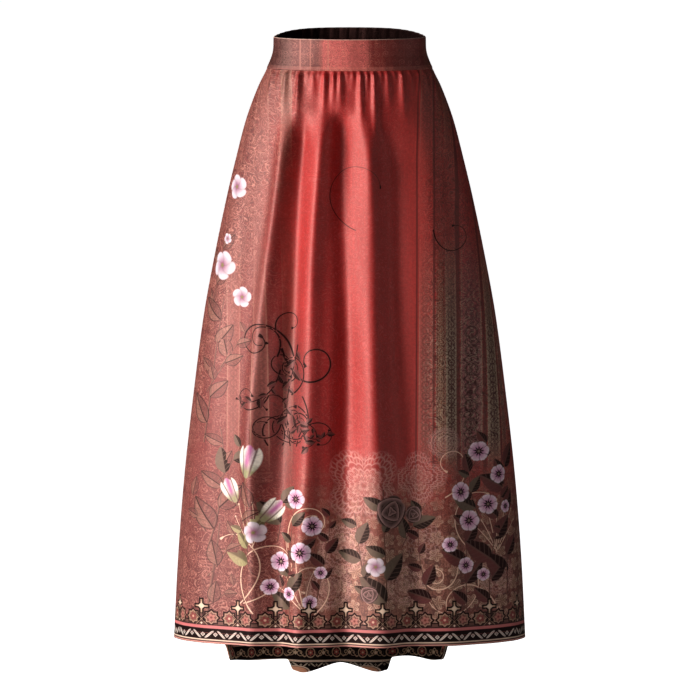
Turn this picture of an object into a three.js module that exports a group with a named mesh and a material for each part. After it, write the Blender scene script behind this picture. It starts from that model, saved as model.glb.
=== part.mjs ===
// A high-waisted maxi skirt, worn shape with no wearer: a stiff band round the waist, and a front and a
// back panel gathered into it, flaring in soft folds to the hem. The back panel is cut longer.
// Millimetres, +Z up, the front towards -Y. The origin is the middle of the waist, half way up the band.
import * as THREE from "three";

// Driving sizes
const BAND_HEIGHT = 50;
const SIDE_LENGTH = 956; // from the band's top edge to the hem, level, at the sides and the front
const BACK_RISE = 10; // the band stands this much higher at centre back
const RISE_FADES = 260; // the rise is gone this far below the band
const CLOTH = 1.2; // satin panel
const HEM = 2.4; // turned-up hem, two layers
const HEM_TURN = 18;
const BAND_CLOTH = 2.6; // folded band with its stiffener or elastic
const BAND_PROUD = 0.8; // the band's face stands out this much from the gathers' base line
const SEAM_GAP = 0.3;
const QUARTER = Math.PI / 2;

// Grid of a panel: columns across, and rows as shares of its length
const PANEL_COLUMNS = 88;
const CROWD_TO_CENTRE = 0.15; // columns crowd towards the middle of a panel, where the gathers are
const HEM_STEP = 0.7; // the turned-up edge steps inwards over this height
const SIDE_QUIET = 0.3; // radians at each side seam where folds and gathers die out
const PANEL_ROWS = [0, 5, 11, 19, 30, 46, 70, 104, 150, 210, 284, 370, 460, 550, 640, 730, 812];
const FRONT_BAND_COLUMNS = 44;
const BACK_BAND_COLUMNS = 84;
const BAND_ROWS = [0, 1, 16, 34, 49, 50];

// Outside of the skirt, by drop below the band's top edge: half width, and depth to front and to back.
const PROFILE = [
  { drop: 0, halfWidth: 120, front: 82, back: 82 },
  { drop: 25, halfWidth: 121.5, front: 82.5, back: 83.5 },
  { drop: 50, halfWidth: 131, front: 85, back: 88 },
  { drop: 80, halfWidth: 145.5, front: 90, back: 99 },
  { drop: 130, halfWidth: 164, front: 98, back: 113 },
  { drop: 193, halfWidth: 180.5, front: 108, back: 128 },
  { drop: 256, halfWidth: 195.5, front: 117, back: 141 },
  { drop: 350, halfWidth: 215, front: 129, back: 157 },
  { drop: 444, halfWidth: 232, front: 141, back: 171 },
  { drop: 570, halfWidth: 248.5, front: 156, back: 188 },
  { drop: 695, halfWidth: 262.5, front: 169, back: 203 },
  { drop: 821, halfWidth: 272.5, front: 180, back: 215 },
  { drop: 956, halfWidth: 279.5, front: 189, back: 225 },
  { drop: 1040, halfWidth: 283, front: 193, back: 230 },
];

// Gathers at the seam: place along the girth from the panel's centre, length down, height.
const FRONT_GATHERS = [
  { at: -133, reach: 55, height: 2.6 },
  { at: -118, reach: 40, height: 2.0 },
  { at: -104, reach: 62, height: 3.4 },
  { at: -92, reach: 26, height: 2.0 },
  { at: -80, reach: 84, height: 5.4 },
  { at: -67, reach: 24, height: 2.0 },
  { at: -57, reach: 40, height: 3.4 },
  { at: -48, reach: 24, height: 2.4 },
  { at: -39, reach: 72, height: 5.0 },
  { at: -25, reach: 60, height: 4.4 },
  { at: -14.5, reach: 64, height: 4.6 },
  { at: -4, reach: 24, height: 2.2 },
  { at: 5, reach: 28, height: 3.0 },
  { at: 16, reach: 96, height: 5.0 },
  { at: 27, reach: 50, height: 3.4 },
  { at: 37, reach: 120, height: 5.2 },
  { at: 49, reach: 30, height: 2.8 },
  { at: 59, reach: 56, height: 3.4 },
  { at: 71, reach: 24, height: 2.2 },
  { at: 82, reach: 70, height: 4.4 },
  { at: 98, reach: 34, height: 3.0 },
  { at: 113, reach: 56, height: 3.2 },
  { at: 129, reach: 36, height: 2.2 },
  { at: 147, reach: 62, height: 2.8 },
];
const BACK_GATHERS = [
  { at: -150, reach: 48, height: 2.2 },
  { at: -133, reach: 70, height: 2.8 },
  { at: -117, reach: 34, height: 2.2 },
  { at: -104, reach: 88, height: 3.4 },
  { at: -90, reach: 40, height: 2.4 },
  { at: -78, reach: 64, height: 3.0 },
  { at: -65, reach: 110, height: 3.8 },
  { at: -52, reach: 36, height: 2.4 },
  { at: -41, reach: 72, height: 3.2 },
  { at: -29, reach: 96, height: 3.6 },
  { at: -17, reach: 44, height: 2.6 },
  { at: -6, reach: 78, height: 3.4 },
  { at: 6, reach: 52, height: 2.8 },
  { at: 18, reach: 104, height: 3.8 },
  { at: 31, reach: 38, height: 2.4 },
  { at: 43, reach: 82, height: 3.4 },
  { at: 55, reach: 46, height: 2.6 },
  { at: 68, reach: 92, height: 3.6 },
  { at: 82, reach: 34, height: 2.2 },
  { at: 95, reach: 74, height: 3.2 },
  { at: 109, reach: 42, height: 2.4 },
  { at: 124, reach: 86, height: 3.0 },
  { at: 141, reach: 50, height: 2.4 },
  { at: 158, reach: 40, height: 2.0 },
];
const GATHER_HEAD = 3.9; // half width of a gather at the seam
const GATHER_FOOT = 8.5; // and where it dies out
const GATHER_SWELL = 9; // it swells to its height over this much below the seam
const GATHER_AT_SEAM = 0.3; // share of its height that is left at the seam
const GATHER_FAN = 0.0011; // a gather drifts from the centre by this share for each mm down

// Folds: girth from the panel's centre at head and foot, half width there, drop of head and foot,
// lengths of growing at the head and of fading under the foot, and height (outwards is positive).
const FOLD_UNEVEN = 0.16; // a fold's height varies by this share along it
const FOLD_BEAT = 72;
const FOLD_WANDER = 3; // and it sways by this much
const FOLD_SWAY = 95;
const FRONT_FOLDS = [
  { head: -101, foot: -159, narrow: 12, wide: 15, from: 104, to: 620, grow: 90, fade: 900, height: 13 },
  { head: -73, foot: -112, narrow: 12, wide: 20, from: 104, to: 660, grow: 60, fade: 900, height: -14 },
  { head: -43, foot: -78, narrow: 12, wide: 20, from: 96, to: 860, grow: 80, fade: 900, height: 14 },
  { head: -10, foot: -6, narrow: 14, wide: 22, from: 104, to: 860, grow: 40, fade: 900, height: -16 },
  { head: 24, foot: 50, narrow: 13, wide: 24, from: 70, to: 850, grow: 140, fade: 900, height: 13 },
  { head: 62, foot: 96, narrow: 17, wide: 26, from: 118, to: 760, grow: 80, fade: 900, height: -9 },
  { head: 98, foot: 118, narrow: 30, wide: 36, from: 118, to: 760, grow: 80, fade: 900, height: -6 },
  { head: 128, foot: 164, narrow: 22, wide: 32, from: 120, to: 760, grow: 150, fade: 900, height: 4 },
  { head: 162, foot: 206, narrow: 16, wide: 24, from: 140, to: 700, grow: 160, fade: 500, height: -4 },
  { head: -170, foot: -218, narrow: 16, wide: 26, from: 150, to: 700, grow: 200, fade: 500, height: -4 },
];
const BACK_FOLDS = [
  { head: -150, foot: -232, narrow: 16, wide: 20, from: 200, to: 1140, grow: 420, fade: 60, height: -10 },
  { head: -104, foot: -146, narrow: 20, wide: 34, from: 110, to: 1140, grow: 330, fade: 60, height: 13 },
  { head: -66, foot: -92, narrow: 15, wide: 20, from: 100, to: 520, grow: 120, fade: 420, height: -10 },
  { head: -28, foot: -18, narrow: 14, wide: 20, from: 90, to: 1140, grow: 150, fade: 60, height: 12 },
  { head: 14, foot: 36, narrow: 13, wide: 22, from: 110, to: 540, grow: 110, fade: 420, height: -12 },
  { head: 62, foot: 112, narrow: 20, wide: 32, from: 100, to: 1140, grow: 300, fade: 60, height: 13 },
  { head: 118, foot: 190, narrow: 16, wide: 20, from: 190, to: 1140, grow: 380, fade: 60, height: -11 },
  { head: 166, foot: 262, narrow: 20, wide: 34, from: 240, to: 1140, grow: 420, fade: 60, height: 5 },
  { head: -186, foot: -300, narrow: 20, wide: 34, from: 240, to: 1140, grow: 420, fade: 60, height: 5 },
];
// The deep fold at centre back: its steep sides, by girth at the hem, and how far it lies inwards.
const BACK_VALLEY = { left: -95, right: 64, edge: 10, from: 420, grow: 480, height: -30 };
const VALLEY_TOP_SHARE = 0.55; // its sides stand this much closer together at its head
const WALL_PULL = 0.6; // columns crowd onto the valley's sides by this share
const WALL_CROWD = 0.16; // over this half angle

// How far the back hem hangs below the level line, by girth from centre back at the hem.
const BACK_HEM = [
  { at: -440, drop: 0 },
  { at: -330, drop: 5 },
  { at: -230, drop: 20 },
  { at: -207, drop: 54 },
  { at: -150, drop: 58 },
  { at: -106, drop: 57 },
  { at: -88, drop: 74 },
  { at: -70, drop: 77 },
  { at: -15, drop: 62 },
  { at: 38, drop: 76 },
  { at: 56, drop: 74 },
  { at: 74, drop: 54 },
  { at: 100, drop: 53 },
  { at: 136, drop: 58 },
  { at: 154, drop: 56 },
  { at: 178, drop: 20 },
  { at: 330, drop: 4 },
  { at: 440, drop: 0 },
];

// Ruching of the back band over its elastic: pleats as they tighten towards the side seams
const RUCHES = 22;
const RUCHE_HEIGHT = 0.9;
const RUCHE_EDGE = 0.22; // radians at each side seam where the ruching dies out

const SATIN = { color: 0xb3423f, roughness: 0.38, metalness: 0 };

const clamp = (x) => Math.min(1, Math.max(0, x));
const smooth = (x) => clamp(x) ** 2 * (3 - 2 * clamp(x));
const bell = (x) => Math.exp(-x * x);
const mix = (a, b, share) => a + (b - a) * share;

// A column of a table at a place, on a smooth curve through the rows (Catmull-Rom slopes).
function curveThrough(table, key, column, at) {
  const last = table.length - 1;
  let i = 0;
  while (i < last - 1 && at > table[i + 1][key]) i++;
  const slopeAt = (k) => {
    const a = table[Math.max(0, k - 1)];
    const b = table[Math.min(last, k + 1)];
    return (b[column] - a[column]) / (b[key] - a[key]);
  };
  const span = table[i + 1][key] - table[i][key];
  const u = clamp((at - table[i][key]) / span);
  const start = (1 + 2 * u) * (1 - u) ** 2 * table[i][column];
  const end = u * u * (3 - 2 * u) * table[i + 1][column];
  return start + end + span * u * (1 - u) * ((1 - u) * slopeAt(i) - u * slopeAt(i + 1));
}

// A column of a table at a place, with a flat step at each row.
function stepsThrough(table, key, column, at) {
  let i = 0;
  while (i < table.length - 2 && at > table[i + 1][key]) i++;
  const share = smooth((at - table[i][key]) / (table[i + 1][key] - table[i][key]));
  return mix(table[i][column], table[i + 1][column], share);
}

// The smooth section at a drop. Angle 0 is the middle of the panel, and its ends are the side seams.
function sectionAt(drop, isBack) {
  return {
    halfWidth: curveThrough(PROFILE, "drop", "halfWidth", drop),
    depth: curveThrough(PROFILE, "drop", isBack ? "back" : "front", drop),
  };
}

// Length along the section from the panel's middle to an angle.
function girthAt(section, angle) {
  const steps = 12;
  let sum = 0;
  for (let i = 0; i < steps; i++) {
    const a = (angle * (i + 0.5)) / steps;
    sum += Math.hypot(section.halfWidth * Math.cos(a), section.depth * Math.sin(a));
  }
  return (sum * angle) / steps;
}

function gatherHeight(gathers, girth, below) {
  const swell = mix(GATHER_AT_SEAM, 1, smooth(below / GATHER_SWELL));
  let height = 0;
  for (const g of gathers) {
    const run = clamp(below / g.reach);
    const centre = g.at * (1 + GATHER_FAN * Math.min(below, g.reach));
    height += g.height * (1 - smooth(run)) * bell((girth - centre) / mix(GATHER_HEAD, GATHER_FOOT, run));
  }
  return height * swell;
}

function foldHeight(folds, girth, drop) {
  let height = 0;
  for (const f of folds) {
    const run = clamp((drop - f.from) / (f.to - f.from));
    const alive = smooth((drop - f.from) / f.grow) * (1 - smooth((drop - f.to) / f.fade));
    const uneven = 1 + FOLD_UNEVEN * Math.sin(drop / FOLD_BEAT + f.foot);
    const centre = mix(f.head, f.foot, run) + FOLD_WANDER * Math.sin(drop / FOLD_SWAY + f.head);
    height += f.height * alive * uneven * bell((girth - centre) / mix(f.narrow, f.wide, run));
  }
  return height;
}

function valleyHeight(girth, drop) {
  const v = BACK_VALLEY;
  const grown = smooth((drop - v.from) / v.grow);
  const share = mix(VALLEY_TOP_SHARE, 1, grown);
  const left = Math.tanh((girth - v.left * share) / v.edge);
  const right = Math.tanh((girth - v.right * share) / v.edge);
  return (v.height * grown * (left - right)) / 2;
}

// Columns of the back panel crowd onto the steep sides of its valley, as the cloth does.
function crowded(angle, drop) {
  const grown = smooth((drop - BACK_VALLEY.from) / BACK_VALLEY.grow);
  const hem = sectionAt(SIDE_LENGTH, true);
  let moved = angle;
  for (const wall of [BACK_VALLEY.left, BACK_VALLEY.right]) {
    const off = angle - Math.asin(wall / hem.halfWidth);
    moved -= grown * WALL_PULL * off * bell(off / WALL_CROWD);
  }
  return moved;
}

// Turns a panel's own angle, height off the section, and level into a point, held back from the side
// seams by half the gap. Both panels' angles run from -X to +X.
function place(section, panelAngle, height, level, isBack) {
  const facing = isBack ? 1 : -1;
  const angle = panelAngle * (1 - SEAM_GAP / 2 / section.depth / QUARTER);
  const x = section.halfWidth * Math.sin(angle);
  const y = facing * section.depth * Math.cos(angle);
  const outX = section.depth * Math.sin(angle);
  const outY = facing * section.halfWidth * Math.cos(angle);
  const long = Math.hypot(outX, outY);
  return new THREE.Vector3(x + (height * outX) / long, y + (height * outY) / long, level);
}

function levelOf(drop, angle, isBack) {
  const rise = isBack ? BACK_RISE * smooth(Math.cos(angle)) : 0;
  return BAND_HEIGHT / 2 - drop + rise * (1 - smooth((drop - BAND_HEIGHT) / RISE_FADES));
}

const evenAngle = (i, columns) => QUARTER * ((2 * i) / columns - 1);

// A closed wall from a grid of outer points: rows go down, columns go across from -X to +X.
function wall(rows, columns, outerPoint, thickness, isBack) {
  const outer = [];
  for (let r = 0; r < rows; r++) {
    outer.push([]);
    for (let c = 0; c <= columns; c++) outer[r].push(outerPoint(r, c));
  }
  const inner = outer.map((line, r) =>
    line.map((point, c) => {
      const across = line[Math.min(columns, c + 1)].clone().sub(line[Math.max(0, c - 1)]);
      const down = outer[Math.min(rows - 1, r + 1)][c].clone().sub(outer[Math.max(0, r - 1)][c]);
      const inwards = across.cross(down).normalize().multiplyScalar(isBack ? -1 : 1);
      inwards.z = 0;
      if (c === 0 || c === columns) inwards.y = 0;
      return point.clone().addScaledVector(inwards.normalize(), thickness(r));
    }),
  );
  const points = [...outer.flat(), ...inner.flat()];
  const outerAt = (r, c) => r * (columns + 1) + c;
  const innerAt = (r, c) => outer.flat().length + outerAt(r, c);
  const faces = [];
  const quad = (a, b, c, d) => faces.push(a, b, c, a, c, d);
  for (let r = 0; r < rows - 1; r++) {
    for (let c = 0; c < columns; c++) {
      quad(outerAt(r, c), outerAt(r + 1, c), outerAt(r + 1, c + 1), outerAt(r, c + 1));
      quad(innerAt(r, c), innerAt(r, c + 1), innerAt(r + 1, c + 1), innerAt(r + 1, c));
    }
    quad(outerAt(r, 0), innerAt(r, 0), innerAt(r + 1, 0), outerAt(r + 1, 0));
    quad(outerAt(r, columns), outerAt(r + 1, columns), innerAt(r + 1, columns), innerAt(r, columns));
  }
  for (let c = 0; c < columns; c++) {
    quad(outerAt(0, c), outerAt(0, c + 1), innerAt(0, c + 1), innerAt(0, c));
    quad(outerAt(rows - 1, c), innerAt(rows - 1, c), innerAt(rows - 1, c + 1), outerAt(rows - 1, c + 1));
  }
  if (isBack) faces.reverse();
  const geometry = new THREE.BufferGeometry();
  geometry.setAttribute("position", new THREE.Float32BufferAttribute(points.flatMap((p) => p.toArray()), 3));
  geometry.setIndex(faces);
  geometry.computeVertexNormals();
  return geometry;
}

// A gathered panel, from the seam under the band to its hem.
function panel(isBack) {
  const gathers = isBack ? BACK_GATHERS : FRONT_GATHERS;
  const folds = isBack ? BACK_FOLDS : FRONT_FOLDS;
  const level = SIDE_LENGTH - BAND_HEIGHT;
  const rows = [...PANEL_ROWS, level - HEM_TURN - HEM_STEP, level - HEM_TURN, level];
  const upperRows = PANEL_ROWS.length;
  const hem = sectionAt(SIDE_LENGTH, isBack);
  const point = (r, c) => {
    const even = evenAngle(c, PANEL_COLUMNS);
    const own = even - CROWD_TO_CENTRE * Math.sin(2 * even);
    const longer = isBack ? stepsThrough(BACK_HEM, "at", "drop", girthAt(hem, own)) : 0;
    const stretch = r < upperRows ? rows[r] / level : 1;
    const below = rows[r] + longer * stretch;
    const drop = BAND_HEIGHT + SEAM_GAP + below * (1 - SEAM_GAP / level);
    const angle = isBack ? crowded(own, drop) : own;
    const section = sectionAt(drop, isBack);
    const girth = girthAt(section, angle);
    const quiet = smooth((QUARTER - Math.abs(angle)) / SIDE_QUIET);
    let height = gatherHeight(gathers, girth, below) + foldHeight(folds, girth, drop);
    if (isBack) height += valleyHeight(girth, drop);
    return place(section, angle, height * quiet, levelOf(drop, angle, isBack), isBack);
  };
  const thickness = (r) => (r > upperRows ? HEM : CLOTH);
  return wall(rows.length, PANEL_COLUMNS, point, thickness, isBack);
}

// Half of the waistband.
function band(isBack) {
  const columns = isBack ? BACK_BAND_COLUMNS : FRONT_BAND_COLUMNS;
  const edgeRound = 0.4;
  const point = (r, c) => {
    const angle = evenAngle(c, columns);
    const section = sectionAt(BAND_ROWS[r], isBack);
    const atEdge = r === 0 || r === BAND_ROWS.length - 1;
    const quiet = smooth((QUARTER - Math.abs(angle)) / RUCHE_EDGE);
    const ruche = isBack ? RUCHE_HEIGHT * quiet * Math.cos(2 * RUCHES * angle) : 0;
    const height = BAND_PROUD + ruche - (atEdge ? edgeRound : 0);
    return place(section, angle, height, levelOf(BAND_ROWS[r], angle, isBack), isBack);
  };
  return wall(BAND_ROWS.length, columns, point, () => BAND_CLOTH, isBack);
}

function piece(name, geometry) {
  const mesh = new THREE.Mesh(geometry, new THREE.MeshStandardMaterial(SATIN));
  mesh.name = name;
  return mesh;
}

const skirt = new THREE.Group();
skirt.add(piece("waistband_front", band(false)));
skirt.add(piece("waistband_back", band(true)));
skirt.add(piece("skirt_front", panel(false)));
skirt.add(piece("skirt_back", panel(true)));

export default skirt;
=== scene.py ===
import math

import bpy
import numpy as np
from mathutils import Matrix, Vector


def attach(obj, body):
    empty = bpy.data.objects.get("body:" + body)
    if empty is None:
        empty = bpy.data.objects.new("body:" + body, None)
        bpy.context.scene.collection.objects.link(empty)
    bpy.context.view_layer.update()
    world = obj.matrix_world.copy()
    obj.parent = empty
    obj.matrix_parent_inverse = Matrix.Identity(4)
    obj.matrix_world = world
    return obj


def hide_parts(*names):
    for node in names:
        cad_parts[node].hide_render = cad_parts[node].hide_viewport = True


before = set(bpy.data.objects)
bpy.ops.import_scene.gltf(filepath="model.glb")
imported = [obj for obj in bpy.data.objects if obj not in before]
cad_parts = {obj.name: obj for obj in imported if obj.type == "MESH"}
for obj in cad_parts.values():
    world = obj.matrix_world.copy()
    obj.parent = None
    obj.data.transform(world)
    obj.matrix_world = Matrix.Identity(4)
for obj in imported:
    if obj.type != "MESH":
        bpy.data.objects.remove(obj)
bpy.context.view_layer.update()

# Skirt front
# The front panel of printed polyester satin: a flared piece, gathered by a thread along its top into the
# band's lower edge, falling in a few deep soft folds, its hem turned up inside and stitched.

MM = 0.001
BAND_HEIGHT = 50
SIDE_LENGTH = 956
BACK_RISE = 10
RISE_FADES = 260
SEAM_GAP = 0.04
QUARTER = math.pi / 2
SIDE_QUIET = 0.3
PANEL_COLUMNS = 200
PANEL_ROWS = 232
CROWD_TO_CENTRE = 0.15
ROWS_EVEN = 0.45  # the rest of the rows crowd towards the gathers
CLOTH = 0.8
HEM_CLOTH = 1.7
HEM_TURN = 18

# Outside of the skirt in mm, by drop below the band's top: half width, and depth to front and to back
PROFILE = {
    "drop": [0, 25, 50, 80, 130, 193, 256, 350, 444, 570, 695, 821, 956, 1040],
    "half_width": [120, 121.5, 131, 145.5, 164, 180.5, 195.5, 215, 232, 248.5, 262.5, 272.5, 279.5, 283],
    "front": [82, 82.5, 85, 90, 98, 108, 117, 129, 141, 156, 169, 180, 189, 193],
    "back": [82, 83.5, 88, 99, 113, 128, 141, 157, 171, 188, 203, 215, 225, 230],
}
# Gathers: place along the girth from the panel's centre, length down, height
FRONT_GATHERS = [
    (-133, 55, 2.6), (-118, 40, 2.0), (-104, 62, 3.4), (-92, 26, 2.0), (-80, 84, 5.4), (-67, 24, 2.0),
    (-57, 40, 3.4), (-48, 24, 2.4), (-39, 72, 5.0), (-25, 60, 4.4), (-14.5, 64, 4.6), (-4, 24, 2.2),
    (5, 28, 3.0), (16, 96, 5.0), (27, 50, 3.4), (37, 120, 5.2), (49, 30, 2.8), (59, 56, 3.4),
    (71, 24, 2.2), (82, 70, 4.4), (98, 34, 3.0), (113, 56, 3.2), (129, 36, 2.2), (147, 62, 2.8),
]
# Each gather's half width at head and foot, what heights and lengths are multiplied by, how far under the
# seam it swells, its share of its height at the seam, and how it fans out per mm
GATHER_HEAD = 3.6
GATHER_FOOT = 7.5
GATHER_LIFT = 1.55
GATHER_LONG = 1.3
GATHER_SWELL = 7
GATHER_AT_SEAM = 0.3
GATHER_FAN = 0.0011
# How a fold's height wavers on the way down, and over what length, and how its middle does
FOLD_UNEVEN = 0.16
FOLD_BEAT = 72
FOLD_WANDER = 3
FOLD_SWAY = 95
# Folds: girth at head and foot, half width there, drop of head and foot, lengths of growing at the head
# and of fading under the foot, and height, outwards positive
FRONT_FOLDS = [
    (-101, -159, 12, 15, 104, 620, 90, 900, 13),
    (-73, -112, 12, 20, 104, 660, 60, 900, -14),
    (-43, -78, 12, 20, 96, 860, 80, 900, 14),
    (-10, -6, 14, 22, 104, 860, 40, 900, -16),
    (24, 50, 13, 24, 70, 850, 140, 900, 13),
    (62, 96, 17, 26, 118, 760, 80, 900, -9),
    (98, 118, 30, 36, 118, 760, 80, 900, -6),
    (128, 164, 22, 32, 120, 760, 150, 900, 4),
    (162, 206, 16, 24, 140, 700, 160, 500, -4),
    (-170, -218, 16, 26, 150, 700, 200, 500, -4),
]


def smooth(x):
    x = np.clip(x, 0, 1)
    return x * x * (3 - 2 * x)


def bell(x):
    return np.exp(-x * x)


def mix(a, b, share):
    return a + (b - a) * share


def curve_through(xs, ys, at):
    """A smooth curve through the rows of a table, with Catmull-Rom slopes."""
    xs, ys, at = (np.asarray(v, float) for v in (xs, ys, at))
    slopes = np.gradient(ys) / np.gradient(xs)
    i = np.clip(np.searchsorted(xs, at, side="right") - 1, 0, len(xs) - 2)
    span = xs[i + 1] - xs[i]
    s = np.clip((at - xs[i]) / span, 0, 1)
    ends = (1 + 2 * s) * (1 - s) ** 2 * ys[i] + s * s * (3 - 2 * s) * ys[i + 1]
    return ends + span * s * (1 - s) * ((1 - s) * slopes[i] - s * slopes[i + 1])


def steps_through(xs, ys, at):
    """A curve that is flat at each row of a table."""
    xs, ys, at = (np.asarray(v, float) for v in (xs, ys, at))
    i = np.clip(np.searchsorted(xs, at, side="right") - 1, 0, len(xs) - 2)
    return mix(ys[i], ys[i + 1], smooth((at - xs[i]) / (xs[i + 1] - xs[i])))


def section(drop, side):
    width = curve_through(PROFILE["drop"], PROFILE["half_width"], drop)
    return width, curve_through(PROFILE["drop"], PROFILE[side], drop)


def girth(width, depth, angle):
    """Length along the section from the panel's middle to an angle."""
    steps = 12
    middles = [angle * ((k + 0.5) / steps) for k in range(steps)]
    return angle / steps * sum(np.hypot(width * np.cos(m), depth * np.sin(m)) for m in middles)


def gather_height(gathers, along, below):
    total = 0
    for at, length, height in gathers:
        reach = length * GATHER_LONG
        run = np.clip(below / reach, 0, 1)
        centre = at * (1 + GATHER_FAN * np.minimum(below, reach))
        total += height * (1 - smooth(run)) * bell((along - centre) / mix(GATHER_HEAD, GATHER_FOOT, run))
    return GATHER_LIFT * total * mix(GATHER_AT_SEAM, 1, smooth(below / GATHER_SWELL))


def fold_height(folds, along, drop):
    total = 0
    for head, foot, narrow, wide, top, end, grow, fade, height in folds:
        run = np.clip((drop - top) / (end - top), 0, 1)
        alive = smooth((drop - top) / grow) * (1 - smooth((drop - end) / fade))
        alive *= 1 + FOLD_UNEVEN * np.sin(drop / FOLD_BEAT + foot)
        centre = mix(head, foot, run) + FOLD_WANDER * np.sin(drop / FOLD_SWAY + head)
        total += height * alive * bell((along - centre) / mix(narrow, wide, run))
    return total


def level_of(drop, angle, side):
    rise = BACK_RISE * smooth(np.cos(angle)) if side == "back" else 0
    return BAND_HEIGHT / 2 - drop + rise * (1 - smooth((drop - BAND_HEIGHT) / RISE_FADES))


def place(drop, angle, height, side):
    """Points off the smooth section by a height, held back from the side seams by half the gap."""
    width, depth = section(drop, side)
    facing = 1 if side == "back" else -1
    held = angle * (1 - SEAM_GAP / 2 / depth / QUARTER)
    out_x, out_y = depth * np.sin(held), facing * width * np.cos(held)
    long = np.hypot(out_x, out_y)
    x = width * np.sin(held) + height * out_x / long
    y = facing * depth * np.cos(held) + height * out_y / long
    return np.stack([x, y, level_of(drop, angle, side) + 0 * x], axis=-1)


def print_place(drop, angle, side):
    """Place on the printed cloth: across from the centre. The front's print lies as it is seen from the
    front, easing into the cloth's own length towards the side seams; the back's follows the cloth."""
    width, depth = section(drop, side)
    if side == "back":
        return girth(width, depth, angle)
    steps = 24
    total = 0
    for k in range(steps):
        a = angle * (k + 0.5) / steps
        own = np.hypot(width * np.cos(a), depth * np.sin(a))
        total = total + mix(width * np.cos(a), own, smooth((np.abs(a) - 0.95) / 0.4))
    return total * angle / steps


def shell(name, outer, thickness, side, places):
    """A closed thin shell from a grid of outer points in mm, with each point's place on the print."""
    rows, columns = outer.shape[:2]
    across = np.gradient(outer, axis=1)
    down = np.gradient(outer, axis=0)
    inwards = np.cross(across, down) * (-1 if side == "back" else 1)
    inwards[..., 2] = 0
    inwards[:, 0, 1] = inwards[:, -1, 1] = 0
    inwards /= np.linalg.norm(inwards, axis=-1, keepdims=True)
    inner = outer + inwards * thickness[:, None, None]
    points = np.concatenate([outer.reshape(-1, 3), inner.reshape(-1, 3)]) * MM
    outer_at = np.arange(rows * columns).reshape(rows, columns)
    inner_at = outer_at + rows * columns

    def strip(a, b, c, d):
        return np.stack([a.ravel(), b.ravel(), c.ravel(), d.ravel()], axis=-1)

    o, n = outer_at, inner_at
    faces = np.concatenate(
        [
            strip(o[:-1, :-1], o[1:, :-1], o[1:, 1:], o[:-1, 1:]),
            strip(n[:-1, :-1], n[:-1, 1:], n[1:, 1:], n[1:, :-1]),
            strip(o[:-1, 0], n[:-1, 0], n[1:, 0], o[1:, 0]),
            strip(o[:-1, -1], o[1:, -1], n[1:, -1], n[:-1, -1]),
            strip(o[0, :-1], o[0, 1:], n[0, 1:], n[0, :-1]),
            strip(o[-1, :-1], n[-1, :-1], n[-1, 1:], o[-1, 1:]),
        ]
    )
    if side == "back":
        faces = faces[:, ::-1]
    mesh = bpy.data.meshes.new(name)
    mesh.from_pydata(points.tolist(), [], faces.tolist())
    mesh.polygons.foreach_set("use_smooth", [True] * len(faces))
    mesh.set_sharp_from_angle(angle=math.radians(50))
    flat = np.concatenate([places.reshape(-1, 3)] * 2) * MM
    write_attribute(mesh, "cloth", "POINT", flat)
    inside = np.repeat([0.0, 1.0], rows * columns)
    attribute = mesh.attributes.new("inside", "FLOAT", "POINT")
    attribute.data.foreach_set("value", inside)
    piece = bpy.data.objects.new(name, mesh)
    bpy.context.scene.collection.objects.link(piece)
    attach(piece, "root")
    return piece, flat[:, :2], faces


def write_attribute(mesh, name, domain, vectors):
    attribute = mesh.attributes.new(name, "FLOAT_VECTOR", domain)
    attribute.data.foreach_set("vector", np.asarray(vectors, np.float32).ravel())


def panel(name, side, gathers, folds, longer, valley, crowd):
    """A gathered panel from the seam to its hem, as a shell with its print places."""
    length = SIDE_LENGTH - BAND_HEIGHT
    even = QUARTER * np.linspace(-1, 1, PANEL_COLUMNS + 1)
    own = even - CROWD_TO_CENTRE * np.sin(2 * even)
    share = np.linspace(0, 1, PANEL_ROWS)
    rows = length * (ROWS_EVEN * share + (1 - ROWS_EVEN) * share**2)
    rows[np.argmin(np.abs(rows - (length - HEM_TURN)))] = length - HEM_TURN
    hem_width, hem_depth = section(SIDE_LENGTH, side)
    hem_girth = girth(hem_width, hem_depth, own)
    extra = longer(hem_girth)
    stretch = np.minimum(rows / (length - HEM_TURN), 1)
    below = rows[:, None] + extra[None, :] * stretch[:, None]
    drop = BAND_HEIGHT + SEAM_GAP + below * (1 - SEAM_GAP / length)
    angle = crowd(own[None, :], drop)
    width, depth = section(drop, side)
    along = girth(width, depth, angle)
    quiet = smooth((QUARTER - np.abs(angle)) / SIDE_QUIET)
    height = gather_height(gathers, along, below) + fold_height(folds, along, drop) + valley(along, drop)
    height += fine_creases(along, drop, side)
    outer = place(drop, angle, height * quiet, side)
    thickness = mix(CLOTH, HEM_CLOTH, smooth((rows - (length - HEM_TURN)) / 2))
    border = SIDE_LENGTH + border_drop(hem_girth, side)[None, :] - drop
    places = np.stack([print_place(drop, angle, side), drop, border], axis=-1)
    return shell(name, outer, thickness, side, places)


def fine_creases(along, drop, side):
    """Shallow unevenness of hanging satin, long down and short across, stronger away from the band."""
    turn = 0.0 if side == "front" else 1.7
    a = np.sin(along / 19 + drop / 260 + turn) * np.sin(drop / 170 + along / 90 + 2 * turn)
    b = np.sin(along / 8.5 - drop / 330 + 3 * turn) * np.sin(drop / 120 + 1.3 + along / 60)
    c = np.sin(along / 33 - drop / 150 + turn) * np.sin(drop / 95 - along / 120)
    return (0.9 * a + 0.35 * b + 0.8 * c) * smooth((drop - 70) / 160)


def border_drop(hem_girth, side):
    if side == "front":
        return 0 * hem_girth
    return steps_through(BORDER_DIPS["at"], BORDER_DIPS["drop"], hem_girth)


front, front_uv, front_faces = panel(
    "skirt_front_cloth",
    "front",
    FRONT_GATHERS,
    FRONT_FOLDS,
    longer=lambda g: 0 * g,
    valley=lambda a, d: 0,
    crowd=lambda a, d: a + 0 * d,
)
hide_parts("skirt_front")


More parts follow.
